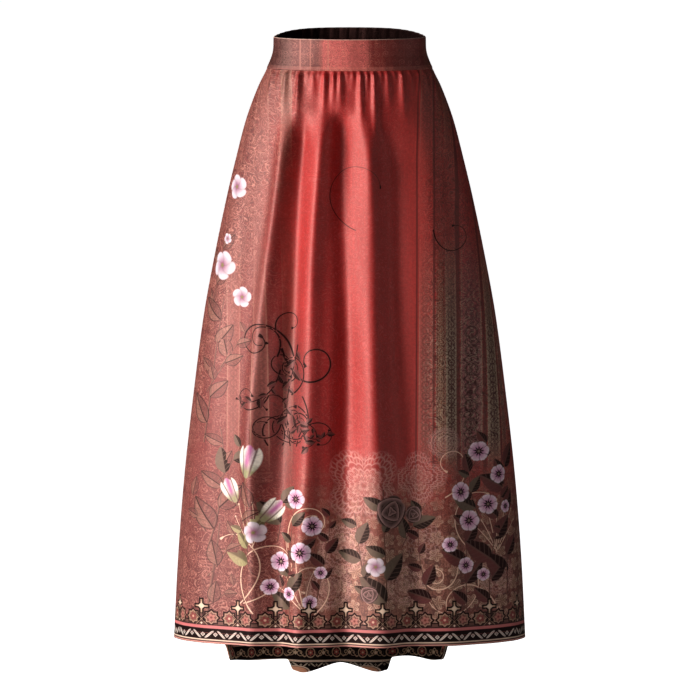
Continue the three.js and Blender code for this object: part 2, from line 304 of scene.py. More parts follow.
class Value:
    """A number, vector or colour in a node tree. Arithmetic on it adds Math nodes."""

    def __init__(self, tree, socket):
        self.tree, self.socket = tree, socket

    def __add__(self, other):
        return math_node("ADD", self, other)

    def __radd__(self, other):
        return math_node("ADD", other, self)

    def __sub__(self, other):
        return math_node("SUBTRACT", self, other)

    def __rsub__(self, other):
        return math_node("SUBTRACT", other, self)

    def __mul__(self, other):
        return math_node("MULTIPLY", self, other)

    def __rmul__(self, other):
        return math_node("MULTIPLY", other, self)

    def __truediv__(self, other):
        return math_node("DIVIDE", self, other)

    def __abs__(self):
        return math_node("ABSOLUTE", self)


def connect(value, socket):
    if isinstance(value, Value):
        value.tree.links.new(value.socket, socket)
    else:
        socket.default_value = value


def math_node(operation, *given):
    tree = next(g.tree for g in given if isinstance(g, Value))
    node = tree.nodes.new("ShaderNodeMath")
    node.operation = operation
    for value, socket in zip(given, node.inputs):
        connect(value, socket)
    return Value(tree, node.outputs[0])


def clamped(x):
    node = x.tree.nodes.new("ShaderNodeClamp")
    connect(x, node.inputs[0])
    return Value(x.tree, node.outputs[0])


def sine(x):
    return math_node("SINE", x)


def power(x, exponent):
    return math_node("POWER", x, exponent)


def least(a, b):
    return math_node("MINIMUM", a, b)


def most(*values):
    top = values[0]
    for value in values[1:]:
        top = math_node("MAXIMUM", top, value)
    return top


def whole(x):
    return math_node("FLOOR", x)


def part_of(x):
    return math_node("FRACT", x)


def polar(x, y):
    return power(x * x + y * y, 0.5), math_node("ARCTAN2", y, x)


def below(x, edge, soft):
    """1 where x is under the edge, 0 where it is over, eased over twice the softness."""
    return clamped(math_node("MULTIPLY_ADD", edge - x, 0.5 / soft, 0.5))


def above(x, edge, soft):
    return clamped(math_node("MULTIPLY_ADD", x - edge, 0.5 / soft, 0.5))


def near(x, centre, half, soft):
    return below(abs(x - centre), half, soft)


def paint(under, mask, over):
    """Lays one colour over another where the mask is 1."""
    tree = next(v.tree for v in (under, mask, over) if isinstance(v, Value))
    node = tree.nodes.new("ShaderNodeMix")
    node.data_type = "RGBA"
    connect(mask, node.inputs[0])
    for value, socket in ((under, node.inputs[6]), (over, node.inputs[7])):
        connect(value if isinstance(value, Value) else (*value, 1), socket)
    return Value(tree, node.outputs[2])


def shade(colour, by):
    """A colour made darker or lighter by a factor."""
    node = colour.tree.nodes.new("ShaderNodeVectorMath")
    node.operation = "SCALE"
    connect(colour, node.inputs[0])
    connect(by, node.inputs["Scale"])
    return Value(colour.tree, node.outputs[0])


def vector_of(tree, x, y, z=0.0):
    node = tree.nodes.new("ShaderNodeCombineXYZ")
    for value, socket in zip((x, y, z), node.inputs):
        connect(value, socket)
    return Value(tree, node.outputs[0])


def parts_of(vector):
    node = vector.tree.nodes.new("ShaderNodeSeparateXYZ")
    connect(vector, node.inputs[0])
    return [Value(vector.tree, socket) for socket in node.outputs]


def noise(place, scale, detail=2.0, rough=0.5, bent=0.0):
    node = place.tree.nodes.new("ShaderNodeTexNoise")
    connect(place, node.inputs["Vector"])
    node.inputs["Scale"].default_value = scale
    node.inputs["Detail"].default_value = detail
    node.inputs["Roughness"].default_value = rough
    node.inputs["Distortion"].default_value = bent
    return Value(place.tree, node.outputs[0])


SOCKETS = {"Place": "NodeSocketVector", "Colour": "NodeSocketColor"}


def group_of(name, build, inputs, outputs):
    """A shader node group with named inputs and outputs, its inside made by the build function. A Place is
    a vector and a Colour a colour. All the others are numbers, the lengths in mm."""
    tree = bpy.data.node_groups.new(name, "ShaderNodeTree")
    for way, labels in (("INPUT", inputs), ("OUTPUT", outputs)):
        for label in labels:
            kind = SOCKETS.get(label, "NodeSocketFloat")
            tree.interface.new_socket(label, in_out=way, socket_type=kind)
    source = tree.nodes.new("NodeGroupInput")
    sink = tree.nodes.new("NodeGroupOutput")
    made = build(*[Value(tree, source.outputs[label]) for label in inputs])
    for label, value in zip(outputs, made):
        connect(value, sink.inputs[label])
    return tree


def use(tree, group, *given):
    """A node of the group in a tree, its inputs in order. Gives back its outputs in order."""
    node = tree.nodes.new("ShaderNodeGroup")
    node.node_tree = group
    for value, socket in zip(given, node.inputs):
        connect(value, socket)
    return [Value(tree, socket) for socket in node.outputs]


def tone(red, green, blue):
    """A screen colour of 0 to 255 as a linear one."""
    shares = [v / 255 for v in (red, green, blue)]
    return tuple(s / 12.92 if s <= 0.04045 else ((s + 0.055) / 1.055) ** 2.4 for s in shares)


CREAM = tone(232, 208, 184)
SAND = tone(176, 142, 112)
ROSE = tone(202, 112, 112)
INK = tone(16, 8, 10)


def random_of(tree, x, y, seed):
    """A random number of 0 to 1 for each whole place and seed."""
    node = tree.nodes.new("ShaderNodeTexWhiteNoise")
    connect(vector_of(tree, x, y, seed), node.inputs["Vector"])
    return Value(tree, node.outputs["Value"])


def turned(x, y, angle):
    cosine = math_node("COSINE", angle)
    return x * cosine + y * sine(angle), y * cosine - x * sine(angle)


def build_bloom(place):
    """Flowers in their own frame, radius 1: 1 anemone, 2 broad pale bloom, 3 dark rose, 4 tulip, tip to x."""
    tree = place.tree
    x, y, z = parts_of(place)
    kind, seed = whole(z), part_of(z)
    r, turn = polar(x, y)
    angle = turn + seed * 9
    grain = noise(vector_of(tree, angle * 2.2, r * 1.5, z * 3), 3.0)
    # Anemone
    notch = power(abs(sine(angle * 3)), 0.5)
    rim = 0.8 + 0.12 * notch + 0.12 * (grain - 0.5)
    anemone = paint(tone(214, 146, 188), above(r, 0.62, 0.28), tone(252, 234, 244))
    anemone = shade(anemone, 0.62 + grain * 0.62)
    anemone = paint(anemone, below(notch, 0.42, 0.14) * above(r, 0.4, 0.1) * 0.6, tone(132, 62, 100))
    lashes = 0.34 + 0.11 * sine(angle * 9) + 0.06 * sine(angle * 23)
    anemone = paint(anemone, below(r, lashes, 0.05), tone(26, 8, 16))
    anemone = paint(anemone, below(r, 0.1, 0.04), tone(132, 118, 104))
    # Broad pale bloom
    swirled = angle + r * 0.8
    fold = abs(sine(swirled * 2.5))
    pale = paint(tone(158, 96, 132), above(r, 0.42, 0.26), tone(222, 210, 218))
    pale = shade(pale, 0.6 + 0.36 * power(fold, 0.4) + 0.3 * (grain - 0.5))
    pale = paint(pale, below(r, 0.14 + 0.04 * sine(angle * 9), 0.05), tone(120, 118, 62))
    # Dark rose
    curl = part_of(r * 3.2 + 0.5 * abs(sine(angle * 1.5 + whole(r * 3.2) * 2.1)))
    rose = paint(tone(38, 30, 26), power(curl, 2.2), tone(168, 132, 128))
    rose = shade(rose, 0.6 + grain * 0.8)
    # Tulip: a cup of three petals on the stalk's end
    cup = 0.62 * power(most(1 - x * x, 0.0001), 0.5) * (1.05 + 0.3 * x)
    ruffle = 0.6 + 0.3 * abs(math_node("COSINE", y * 5.2)) + 0.1 * grain
    tulip = paint(tone(244, 240, 226), near(y, 0.1 * x, 0.2, 0.14), tone(186, 112, 160))
    tulip = paint(tulip, below(x, -0.35, 0.25), tone(150, 152, 112))
    tulip = paint(tulip, near(abs(y), 0.3 + 0.1 * x, 0.04, 0.04), tone(96, 66, 70))
    tulip = shade(tulip, 0.6 + grain * 0.7)
    masks = [
        below(r, rim, 0.04),
        below(r, 0.66 + 0.3 * power(fold, 0.4), 0.04),
        below(r, 0.84 + 0.1 * abs(sine(angle * 2.5)), 0.04),
        below(abs(y), cup, 0.04) * below(x, ruffle, 0.05),
    ]
    colour, mask = anemone, 0
    for number, (look, shape) in enumerate(zip((anemone, pale, rose, tulip), masks), 1):
        mine = near(kind, number, 0.4, 0.1)
        colour = paint(colour, mine, look)
        mask = mask + mine * shape
    return colour, mask


def build_leaf(place):
    """Leaves in their own frame, tip at x = 1: 1 olive, 2 deep green, 3 maroon, 4 drawn in line."""
    tree = place.tree
    x, y, z = parts_of(place)
    kind = whole(z)
    side = abs(y)
    drawn = above(kind, 3.5, 0.1)
    width = 0.5 * power(most(1 - x * x, 0.0001), 0.75) * (1.1 - 0.4 * x)
    grain = noise(vector_of(tree, x * 2, y * 2, z * 5), 3.0)
    body = below(side, width - 0.06 * (grain - 0.5), 0.03)
    vein = below(side, 0.05, 0.03)
    ribs = near(part_of(x * 3 - side * 2.4), 0.5, 0.08, 0.07)
    edge = above(side, width - 0.07, 0.03)
    lit = above(y, 0, 0.06)
    fill = paint(tone(158, 152, 108), lit, tone(82, 80, 46))
    fill = paint(fill, above(kind, 1.5, 0.1), paint(tone(82, 78, 60), lit, tone(28, 24, 18)))
    fill = paint(fill, above(kind, 2.5, 0.1), paint(tone(92, 22, 26), lit, tone(38, 6, 10)))
    fill = paint(fill, drawn, paint(tone(150, 112, 94), lit, tone(92, 50, 42)))
    fill = shade(fill, 0.6 + grain * 0.8)
    lines = most(vein, ribs * 0.7)
    fill = paint(fill, lines * (1 - drawn) * 0.15, tone(150, 128, 100))
    fill = paint(fill, most(lines, edge) * drawn, tone(40, 14, 14))
    return fill, body * (1 - 0.55 * drawn * (1 - most(lines, edge))) * above(kind, 0.5, 0.1)


def build_lace(place):
    """Line-drawn rounds, radius 1: 1 chrysanthemum, 2 medallion of fans, 3 pointed medallion."""
    x, y, z = parts_of(place)
    kind, seed = whole(z), part_of(z)
    r, turn = polar(x, y)
    angle = turn + seed * 9
    ring = whole(r * 5)
    petals = near(part_of(r * 5), 0.2 + 0.6 * abs(sine(angle * (3 + ring * 1.5))), 0.13, 0.12)
    pointed = r * (1 + 0.5 * (1 - power(abs(sine(turn * 2)), 0.6)) * above(kind, 2.5, 0.1) - 0.1)
    fans = abs(sine(angle * 9))
    arches = near(part_of(pointed * 6), 0.25 + 0.5 * power(fans, 0.6), 0.13, 0.12)
    threads = near(part_of(angle * 9), 0.5, 0.16, 0.12) * near(part_of(pointed * 2), 0.5, 0.3, 0.1)
    lattice = near(part_of((x + y) * 7), 0.5, 0.13, 0.1) * near(part_of(pointed * 2), 0.9, 0.2, 0.05)
    flower = near(kind, 1, 0.4, 0.1) * petals * below(r, 0.94 + 0.06 * abs(sine(angle * 7)), 0.04)
    web = most(arches, threads * 0.7, lattice * 0.7)
    medallion = above(kind, 1.5, 0.1) * web * below(pointed, 0.92, 0.05)
    colour = paint(tone(240, 190, 180), near(kind, 1, 0.4, 0.1), tone(190, 146, 136))
    return colour, most(flower * 0.8, medallion * 0.5)


def build_line(place):
    """Drawn lines: x runs 0 to 1 along, y is 1 at the half width, z is the style: stem, scroll, flourish."""
    s, t, style = parts_of(place)
    width = 1 - 0.55 * s + 1.3 * above(s, 0.965, 0.015) * above(style, 1.5, 0.1)
    inked = below(abs(t), width, 0.3) * above(s, 0.002, 0.002) * below(s, 0.995, 0.003)
    stem = paint(tone(54, 24, 22), above(t, 0.1, 0.5), tone(132, 88, 72))
    colour = paint(stem, above(style, 1.5, 0.1), tone(236, 202, 176))
    colour = paint(colour, above(style, 2.5, 0.1), tone(34, 6, 8))
    return colour, inked * above(style, 0.5, 0.1)


def build_scrolls(u, v, size, seed):
    """Arabesque: a curl in each square, at its own turn and hand. In mm."""
    tree = u.tree
    a, b = u / size + seed * 0.37, v / size + seed * 0.61
    chance = random_of(tree, whole(a), whole(b), seed)
    hand = above(part_of(chance * 7), 0.5, 0.01) * 2 - 1
    shift = (part_of(chance * 31) - 0.5) * 0.24
    x, y = turned((part_of(a) - 0.5 + shift) * hand, part_of(b) - 0.5 - shift, chance * 40)
    r, turn = polar(x + 0.06, y)
    reach = 0.22 + 0.2 * part_of(chance * 17)
    curl = near(part_of(r * 4.4 - turn / math.tau), 0.5, 0.17, 0.13) * below(r, reach, 0.06)
    sprout = near(y - 1.8 * x * x, -0.3, 0.035, 0.03) * above(x, -0.42, 0.05)
    return (most(curl, sprout) * (0.35 + 0.65 * part_of(chance * 23)),)


def build_sprigs(u, v, size, seed):
    """Engraved five-lobed leaves, one in each square at its own turn: their lines and their shapes. In mm."""
    tree = u.tree
    a, b = u / size + seed * 0.29, v / size + seed * 0.83
    chance = random_of(tree, whole(a), whole(b), seed)
    shift = (part_of(chance * 31) - 0.5) * 0.2
    x, y = turned(part_of(a) - 0.5 + shift, part_of(b) - 0.5 - shift, chance * 50)
    r, turn = polar(x, y)
    lobe = abs(sine(turn * 2.5))
    edge = (0.2 + 0.28 * power(lobe, 0.8)) * (0.75 + 0.25 * part_of(chance * 13))
    shape = below(r, edge, 0.02)
    outline = near(r, edge - 0.025, 0.028, 0.02)
    ribs = near(part_of(r * 10 - lobe * 1.5), 0.5, 0.14, 0.1) * below(r, edge - 0.05, 0.03)
    vein = above(lobe, 0.965, 0.03)
    return most(outline, most(vein, ribs * 0.7) * shape), shape


def build_chain(u, v, centre, width, pitch):
    """A striped braid of diamonds and rings between two edge lines. In mm."""
    a = (u - centre) / (width / 2)
    b = part_of(v / pitch) * 2 - 1
    c = part_of(v / pitch + 0.5) * 2 - 1
    d = abs(a) * 1.1 + abs(b)
    r, _ = polar(a, c * pitch / width)
    diamonds = most(near(d, 0.72, 0.13, 0.08), below(d, 0.3, 0.1))
    marks = most(diamonds, near(r, 0.52, 0.13, 0.08), below(r, 0.2, 0.08))
    inside = below(abs(a), 1, 0.04)
    edges = near(abs(a), 0.93, 0.07, 0.05)
    return marks * below(abs(a), 0.82, 0.04), edges, inside


MOTIF = ["Colour", "Mask"]
CLOTH_PLACE = ["Across", "Down"]
bloom_group = group_of("Bloom", build_bloom, ["Place"], MOTIF)
leaf_group = group_of("Leaf", build_leaf, ["Place"], MOTIF)
lace_group = group_of("Lace round", build_lace, ["Place"], MOTIF)
line_group = group_of("Drawn line", build_line, ["Place"], MOTIF)
scrolls_group = group_of("Arabesque", build_scrolls, CLOTH_PLACE + ["Size", "Seed"], ["Lines"])
sprigs_group = group_of("Sprigs", build_sprigs, CLOTH_PLACE + ["Size", "Seed"], ["Lines", "Shapes"])
CHAIN = ["Centre", "Width", "Pitch"]
chain_group = group_of("Chain stripe", build_chain, CLOTH_PLACE + CHAIN, ["Marks", "Edges", "Inside"])

# Ornamental stripes: centre, width and pitch in mm, how strongly they show at the top and half way down,
# their ground and their marks
MOSS, PLUM, DUSTY = tone(176, 160, 136), tone(160, 106, 108), tone(186, 116, 104)
UMBER, WINE = tone(74, 38, 30), tone(62, 12, 20)
STRIPES = [
    (-100, 17, 15, 0.24, 0.06, MOSS, UMBER),
    (-140, 24, 19, 0.25, 0.3, DUSTY, UMBER),
    (-186, 22, 16, 0.3, 0.3, DUSTY, UMBER),
    (122, 21, 17, 0.4, 0.42, DUSTY, UMBER),
    (143, 13, 13, 0.35, 0.7, UMBER, SAND),
    (160, 19, 15, 0.4, 0.95, MOSS, UMBER),
    (194, 34, 29, 0.3, 0.8, PLUM, WINE),
    (231, 23, 18, 0.4, 0.9, MOSS, UMBER),
    (257, 17, 15, 0.35, 0.6, DUSTY, UMBER),
]
# Plain dark lines between them: centre and half width
PLAIN_LINES = [(108, 1.2), (133, 1.6), (172, 3.2), (215, 3.0), (245, 1.8)]
# Small leaves by the hem: size of their squares, seed, ink and ground
SPRIGS = [
    (37.0, 3.0, tone(40, 16, 14), tone(96, 56, 44)),
    (26.0, 4.0, tone(230, 196, 170), tone(150, 106, 82)),
]


def build_ground(u, v):
    """The print's ground: red satin, rosy brown at the left, dark and striped at the right, brown by the
    hem, covered in fine engraved lines, with small leaves among them by the hem."""
    tree = u.tree
    cloud = noise(vector_of(tree, u, v * 0.6), 0.02, 3.0, 0.6)
    drift = (cloud - 0.5) * 110
    # Broad zones of colour, their edges drifting with the cloud
    left = below(u + drift * 0.6, -112, 34)
    right = above(u, 122, 12)
    low = above(v + drift, 742, 84)
    umber = low * above(u + drift, -60, 70)
    corner = below(u + v * 0.35 + drift * 0.6, -40, 25)
    colour = paint(tone(154, 8, 10), cloud, tone(186, 26, 28))
    damask = near(part_of(noise(vector_of(tree, u, v), 0.045, 1.5, 0.5, 1.8) * 9), 0.5, 0.12, 0.1)
    colour = paint(colour, damask * near(u, 0, 96, 20) * (0.1 + 0.2 * cloud), tone(226, 130, 122))
    colour = paint(colour, left * 0.85, tone(100, 34, 32))
    colour = paint(colour, above(u, 84, 26) * 0.7, tone(196, 64, 58))
    colour = paint(colour, right * 0.75, tone(176, 40, 38))
    colour = paint(colour, corner * 0.6, tone(100, 36, 30))
    colour = paint(colour, low * 0.6, tone(86, 28, 26))
    colour = paint(colour, umber * 0.85, tone(134, 96, 76))
    colour = paint(colour, low * above(u + drift, 150, 60) * 0.75, tone(104, 32, 24))
    # Engraved lines, dark and light, busier away from the plain middle
    busy = 0.07 + 0.36 * left + 0.6 * most(right, corner) + 0.6 * low
    worm = noise(vector_of(tree, u, v), 0.062, 1.5, 0.5, 1.4)
    etched = near(part_of(worm * 8), 0.5, 0.13, 0.12)
    colour = paint(colour, etched * busy * (0.85 - 0.3 * low), tone(64, 14, 14))
    lit = near(part_of(worm * 8 + 0.3), 0.5, 0.1, 0.1)
    colour = paint(colour, lit * busy * (0.46 - 0.26 * right), tone(232, 170, 150))
    shadowed = near(u + drift * 0.3, -101, 34, 24) * near(v + drift, 575, 110, 50)
    colour = paint(colour, shadowed * (0.5 + 0.4 * etched), tone(56, 14, 12))
    (curls,) = use(tree, scrolls_group, u, v, 23.0, 1.0)
    (small,) = use(tree, scrolls_group, u, v, 14.0, 2.0)
    colour = paint(colour, small * busy * 0.5, tone(70, 14, 14))
    colour = paint(colour, curls * busy * 0.3, tone(222, 150, 132))
    # Ornamental stripes, strongest half way down and gone by the flowers
    middle = above(v, 400, 90) * below(v, 656, 30)
    top = below(v, 150, 60)
    gone = below(v, 690, 30)
    for centre, width, pitch, at_top, half_way, back, marks in STRIPES:
        drawn, edges, inside = use(tree, chain_group, u, v, centre, width, pitch)
        strength = (0.05 + at_top * top * 0.7 + half_way * middle) * gone
        colour = paint(colour, inside * strength * 0.95, back)
        colour = paint(colour, drawn * strength * (0.8 + cloud * 0.7), marks)
        colour = paint(colour, edges * strength * 0.8, tone(188, 160, 132))
    colour = paint(colour, most(small, etched) * right * (0.35 + 0.5 * middle) * gone, tone(50, 14, 16))
    colour = paint(colour, lit * right * middle * gone * 0.5, tone(204, 186, 160))
    for at, half in PLAIN_LINES:
        colour = paint(colour, near(u, at, half, 0.6) * gone * 0.75, tone(74, 4, 8))
    for size, seed, ink, back in SPRIGS:
        lines, shapes = use(tree, sprigs_group, u, v, size, seed)
        colour = paint(colour, shapes * umber * 0.3, back)
        colour = paint(colour, lines * umber * 0.6, ink)
    # Uneven dye, and streaks along the threads
    fine = noise(vector_of(tree, u, v * 0.8), 0.25, 3.0, 0.7)
    streak = noise(vector_of(tree, u, v * 0.03), 0.5, 2.0)
    return (shade(colour, (0.6 + fine * 0.8) * (0.84 + streak * 0.32)),)


ground_group = group_of("Satin ground", build_ground, CLOTH_PLACE, ["Colour"])

# The border's crosses and eight-pointed frames in mm, the heights over the row's foot
CROSS_PITCH = 57
CROSS_AT = -6.5
CROSS_UP = 29.5
CROSS_HALF = 10.8
ARM_HALF = 2.6
STAR_UP = 12
STAR_HALF = 9.2


def build_cartouches(u, h):
    """A row of eight-pointed frames, a flower in each, and crosses between, all in one black outline.
    h is the height over the row's foot, mm."""
    side = abs((part_of((u - CROSS_AT) / CROSS_PITCH + 0.5) - 0.5) * CROSS_PITCH)
    half = CROSS_PITCH / 2
    cell = (u - CROSS_AT) / half
    odd = part_of(whole(cell) / 2) * 2
    a, b = (part_of(cell) - 0.5) * half, h - STAR_UP
    star = least(most(abs(a), abs(b)) - STAR_HALF, (abs(a) + abs(b)) * 0.707 - STAR_HALF)
    up = abs(h - CROSS_UP)
    arms = most(least(side, up) - ARM_HALF, most(side, up * 0.9) - CROSS_HALF)
    cross = least(arms, (side + up) * 0.707 - 5.4)
    neck = most(side - 2.8, h - 22)
    row = least(least(star, cross), least(neck, h - 7))
    colour = paint(tone(84, 50, 38), below(star, -1, 0.5), paint(tone(96, 50, 42), odd, tone(122, 84, 66)))
    r, turn = polar(a, b)
    petals = below(r, 6.4 * (0.5 + 0.5 * abs(sine(turn * 2.5))), 0.6)
    colour = paint(colour, petals, paint(tone(176, 112, 98), odd, tone(128, 40, 40)))
    colour = paint(colour, below(r, 1.9, 0.5), paint(tone(112, 28, 30), odd, tone(210, 170, 146)))
    colour = paint(colour, near(star, -2.4, 0.5, 0.4) * 0.7, tone(206, 176, 144))
    straps = near(side, abs(h - 9), 2.2, 0.5) * below(side, 10, 0.8)
    colour = paint(colour, most(near(star, 0, 0.9, 0.5), straps, below(h, 1.2, 0.4)), INK)
    strap = near(side, abs(h - 9), 0.7, 0.4) * below(side, 9, 0.8)
    colour = paint(colour, strap * 0.8, SAND)
    colour = paint(colour, below(side + abs(h - 2.6), 1.9, 0.5), CREAM)
    colour = paint(colour, below(cross, 0, 0.4), INK)
    colour = paint(colour, below(cross, -1.5, 0.4), paint(SAND, below(side + up, 6, 3), CREAM))
    colour = paint(colour, near(row, 0, 1.1, 0.5), INK)
    return colour, below(row, 1, 0.5) * above(h, 0, 0.3)


def build_braid(u, h, half, pitch):
    """Light double leaf strokes and diamonds on black. h is the height from the braid's middle, mm."""
    b = h / half
    wave = sine(u * math.pi / pitch)
    steep = abs(math_node("COSINE", u * math.pi / pitch))
    leaf = near(b - 0.9 * wave, 0, 0.46 * steep - 0.1, 0.1)
    stroke = (leaf - near(b, 0.9 * wave, 0.05, 0.06)) * above(steep, 0.4, 0.12)
    a = abs(part_of(u / pitch) - 0.5) * pitch / half
    diamond = a + abs(b)
    eye = most(near(diamond, 0.44, 0.11, 0.08), below(diamond, 0.12, 0.1))
    mask = most(stroke, eye) * below(abs(b), 1, 0.08)
    return paint(INK, mask, tone(232, 220, 208)), mask


ROW = ["Across", "Up"]
cartouche_group = group_of("Cartouche row", build_cartouches, ROW, MOTIF)
braid_group = group_of("Braid", build_braid, ROW + ["Half height", "Pitch"], MOTIF)


# The front border's heights over the hem in mm
FRONT_BORDER = {
    "piping": 1.7, "cream_line": 5.6, "black_from": 6.9, "braid": 14.2, "braid_half": 6.2,
    "braid_pitch": 18.6, "pink_line": 26, "cartouches": 29,
}


def build_front_border(u, h):
    """The front hem's border, by height over the hem in mm: lines, braid, pink line, cartouches."""
    tree = u.tree
    at = FRONT_BORDER
    colour = paint(tone(58, 20, 22), near(h, at["piping"], 0.9, 0.4), tone(214, 152, 138))
    colour = paint(colour, near(h, at["cream_line"], 0.9, 0.4), CREAM)
    colour = paint(colour, above(h, at["black_from"], 0.3), INK)
    braided, _ = use(tree, braid_group, u, h - at["braid"], at["braid_half"], at["braid_pitch"])
    colour = paint(colour, near(h, at["braid"], at["braid_half"] + 0.4, 0.3), braided)
    colour = paint(colour, near(h, at["pink_line"], 2.3, 0.4), ROSE)
    boxes, shown = use(tree, cartouche_group, u, h - at["cartouches"])
    colour = paint(colour, above(h, at["cartouches"], 0.2), boxes)
    return colour, most(below(h, at["cartouches"], 0.3), shown)


front_border_group = group_of("Front border", build_front_border, ROW, MOTIF)


def attribute_of(tree, name, output="Vector"):
    node = tree.nodes.new("ShaderNodeAttribute")
    node.attribute_name = name
    return Value(tree, node.outputs[output])


# Stitches: pitch and half width in mm, and half length as a share of the pitch
STITCH = {"pitch": 3.4, "half_length": 0.36, "half_width": 0.3}
HEM_SEAM = HEM_TURN - 1.5
SATIN = {
    "IOR": 1.75,
    "Specular IOR Level": 0.9,
    "Specular Tint": (1, 0.6, 0.55, 1),
}
WEAVE = {"Strength": 0.12, "Distance": 0.0006}


def build_stitches(u, over):
    """A row of machine stitches along a line. over is the height over the line, mm."""
    row = near(over, 0, STITCH["half_width"], 0.15)
    return (row * near(part_of(u / STITCH["pitch"]), 0.5, STITCH["half_length"], 0.06),)


stitch_group = group_of("Stitches", build_stitches, ["Across", "Over"], ["Mask"])


def printed_satin(name, ground, border_group, motifs, seam, inner_shade=0.75):
    """Printed satin: ground, then each layer of motifs from the lowest up, then the hem's border, and a row
    of stitches at a height over the hem. Black ink lies dull. The cloth's inner side is darker and duller by
    inner_shade: a little for the satin's reverse, and where inner_shade is low, as on the band, painted
    shade."""
    material = bpy.data.materials.new(name)
    material.use_nodes = True
    tree = material.node_tree
    shader = tree.nodes["Principled BSDF"]
    u, v, h = parts_of(attribute_of(tree, "cloth"))
    u, v, h = u / MM, v / MM, h / MM
    (colour,) = use(tree, ground, u, v)
    for layer, group in motifs:
        drawn, mask = use(tree, group, attribute_of(tree, layer))
        colour = paint(colour, mask, drawn)
    if border_group:
        drawn, mask = use(tree, border_group, u, h)
        colour = paint(colour, mask, drawn)
    (stitched,) = use(tree, stitch_group, u, h - seam)
    colour = paint(colour, stitched * 0.7, tone(150, 60, 52))
    inside = attribute_of(tree, "inside", "Fac")
    # The inner side darkened by inner_shade: the satin's reverse, and painted shade where the share is low.
    colour = shade(colour, 1 - inside * (1 - inner_shade))
    red, green, blue = parts_of(colour)
    connect(below(red + green + blue, 0.05, 0.04) * 0.85, shader.inputs["Metallic"])
    connect(colour, shader.inputs["Base Color"])
    threads = noise(vector_of(tree, u * 1.6, v * 0.12), 1.0, 2.0)
    connect(0.54 + threads * 0.12 + inside * 0.25, shader.inputs["Roughness"])
    bump = tree.nodes.new("ShaderNodeBump")
    connect(threads + stitched * 2, bump.inputs["Height"])
    tree.links.new(bump.outputs[0], shader.inputs["Normal"])
    for node, values in ((bump, WEAVE), (shader, SATIN)):
        for label, value in values.items():
            node.inputs[label].default_value = value
    return material


# The print's places in mm, across from the panel's centre and down from the band's top edge
# Flowers: across, down, radius, kind (1 anemone, 2 pale, 3 rose, 4 tulip), turn in degrees
FRONT_BLOOMS = [
    (-182, 236, 20, 2, 30), (-197, 318, 9, 2, 80), (-206, 360, 24, 2, 140), (-172, 408, 17, 2, 200),
    (-156, 664, 27, 4, 8), (-190, 712, 21, 4, -26), (-124, 742, 22, 4, 40), (-148, 776, 18, 2, 10),
    (-84, 722, 17, 1, 0), (-58, 764, 17, 1, 50), (-76, 806, 18, 1, 95), (-112, 822, 17, 1, 130),
    (-46, 838, 11, 1, 200), (-128, 862, 14, 1, 240), (-96, 872, 12, 1, 280), (-62, 884, 12, 1, 310),
    (206, 652, 17, 1, 20), (238, 690, 16, 1, 66), (176, 714, 17, 1, 110), (220, 736, 17, 1, 150),
    (190, 760, 18, 1, 190), (158, 796, 13, 1, 230), (184, 830, 14, 1, 260), (212, 846, 11, 1, 300),
    (252, 742, 11, 1, 40), (66, 742, 28, 3, 60), (40, 828, 16, 2, 110), (104, 748, 15, 3, 200),
    (30, 872, 15, 3, 20),
]
# Line-drawn rounds: across, down, radius, kind (1 chrysanthemum, 2 medallion, 3 pointed medallion), turn
FRONT_LACE = [
    (22, 700, 62, 3, 0), (112, 690, 40, 3, 40), (118, 790, 30, 1, 100), (-10, 800, 38, 2, 50),
    (-32, 862, 34, 2, 90), (88, 858, 32, 2, 140), (150, 636, 24, 2, 0), (236, 850, 30, 2, 200),
]
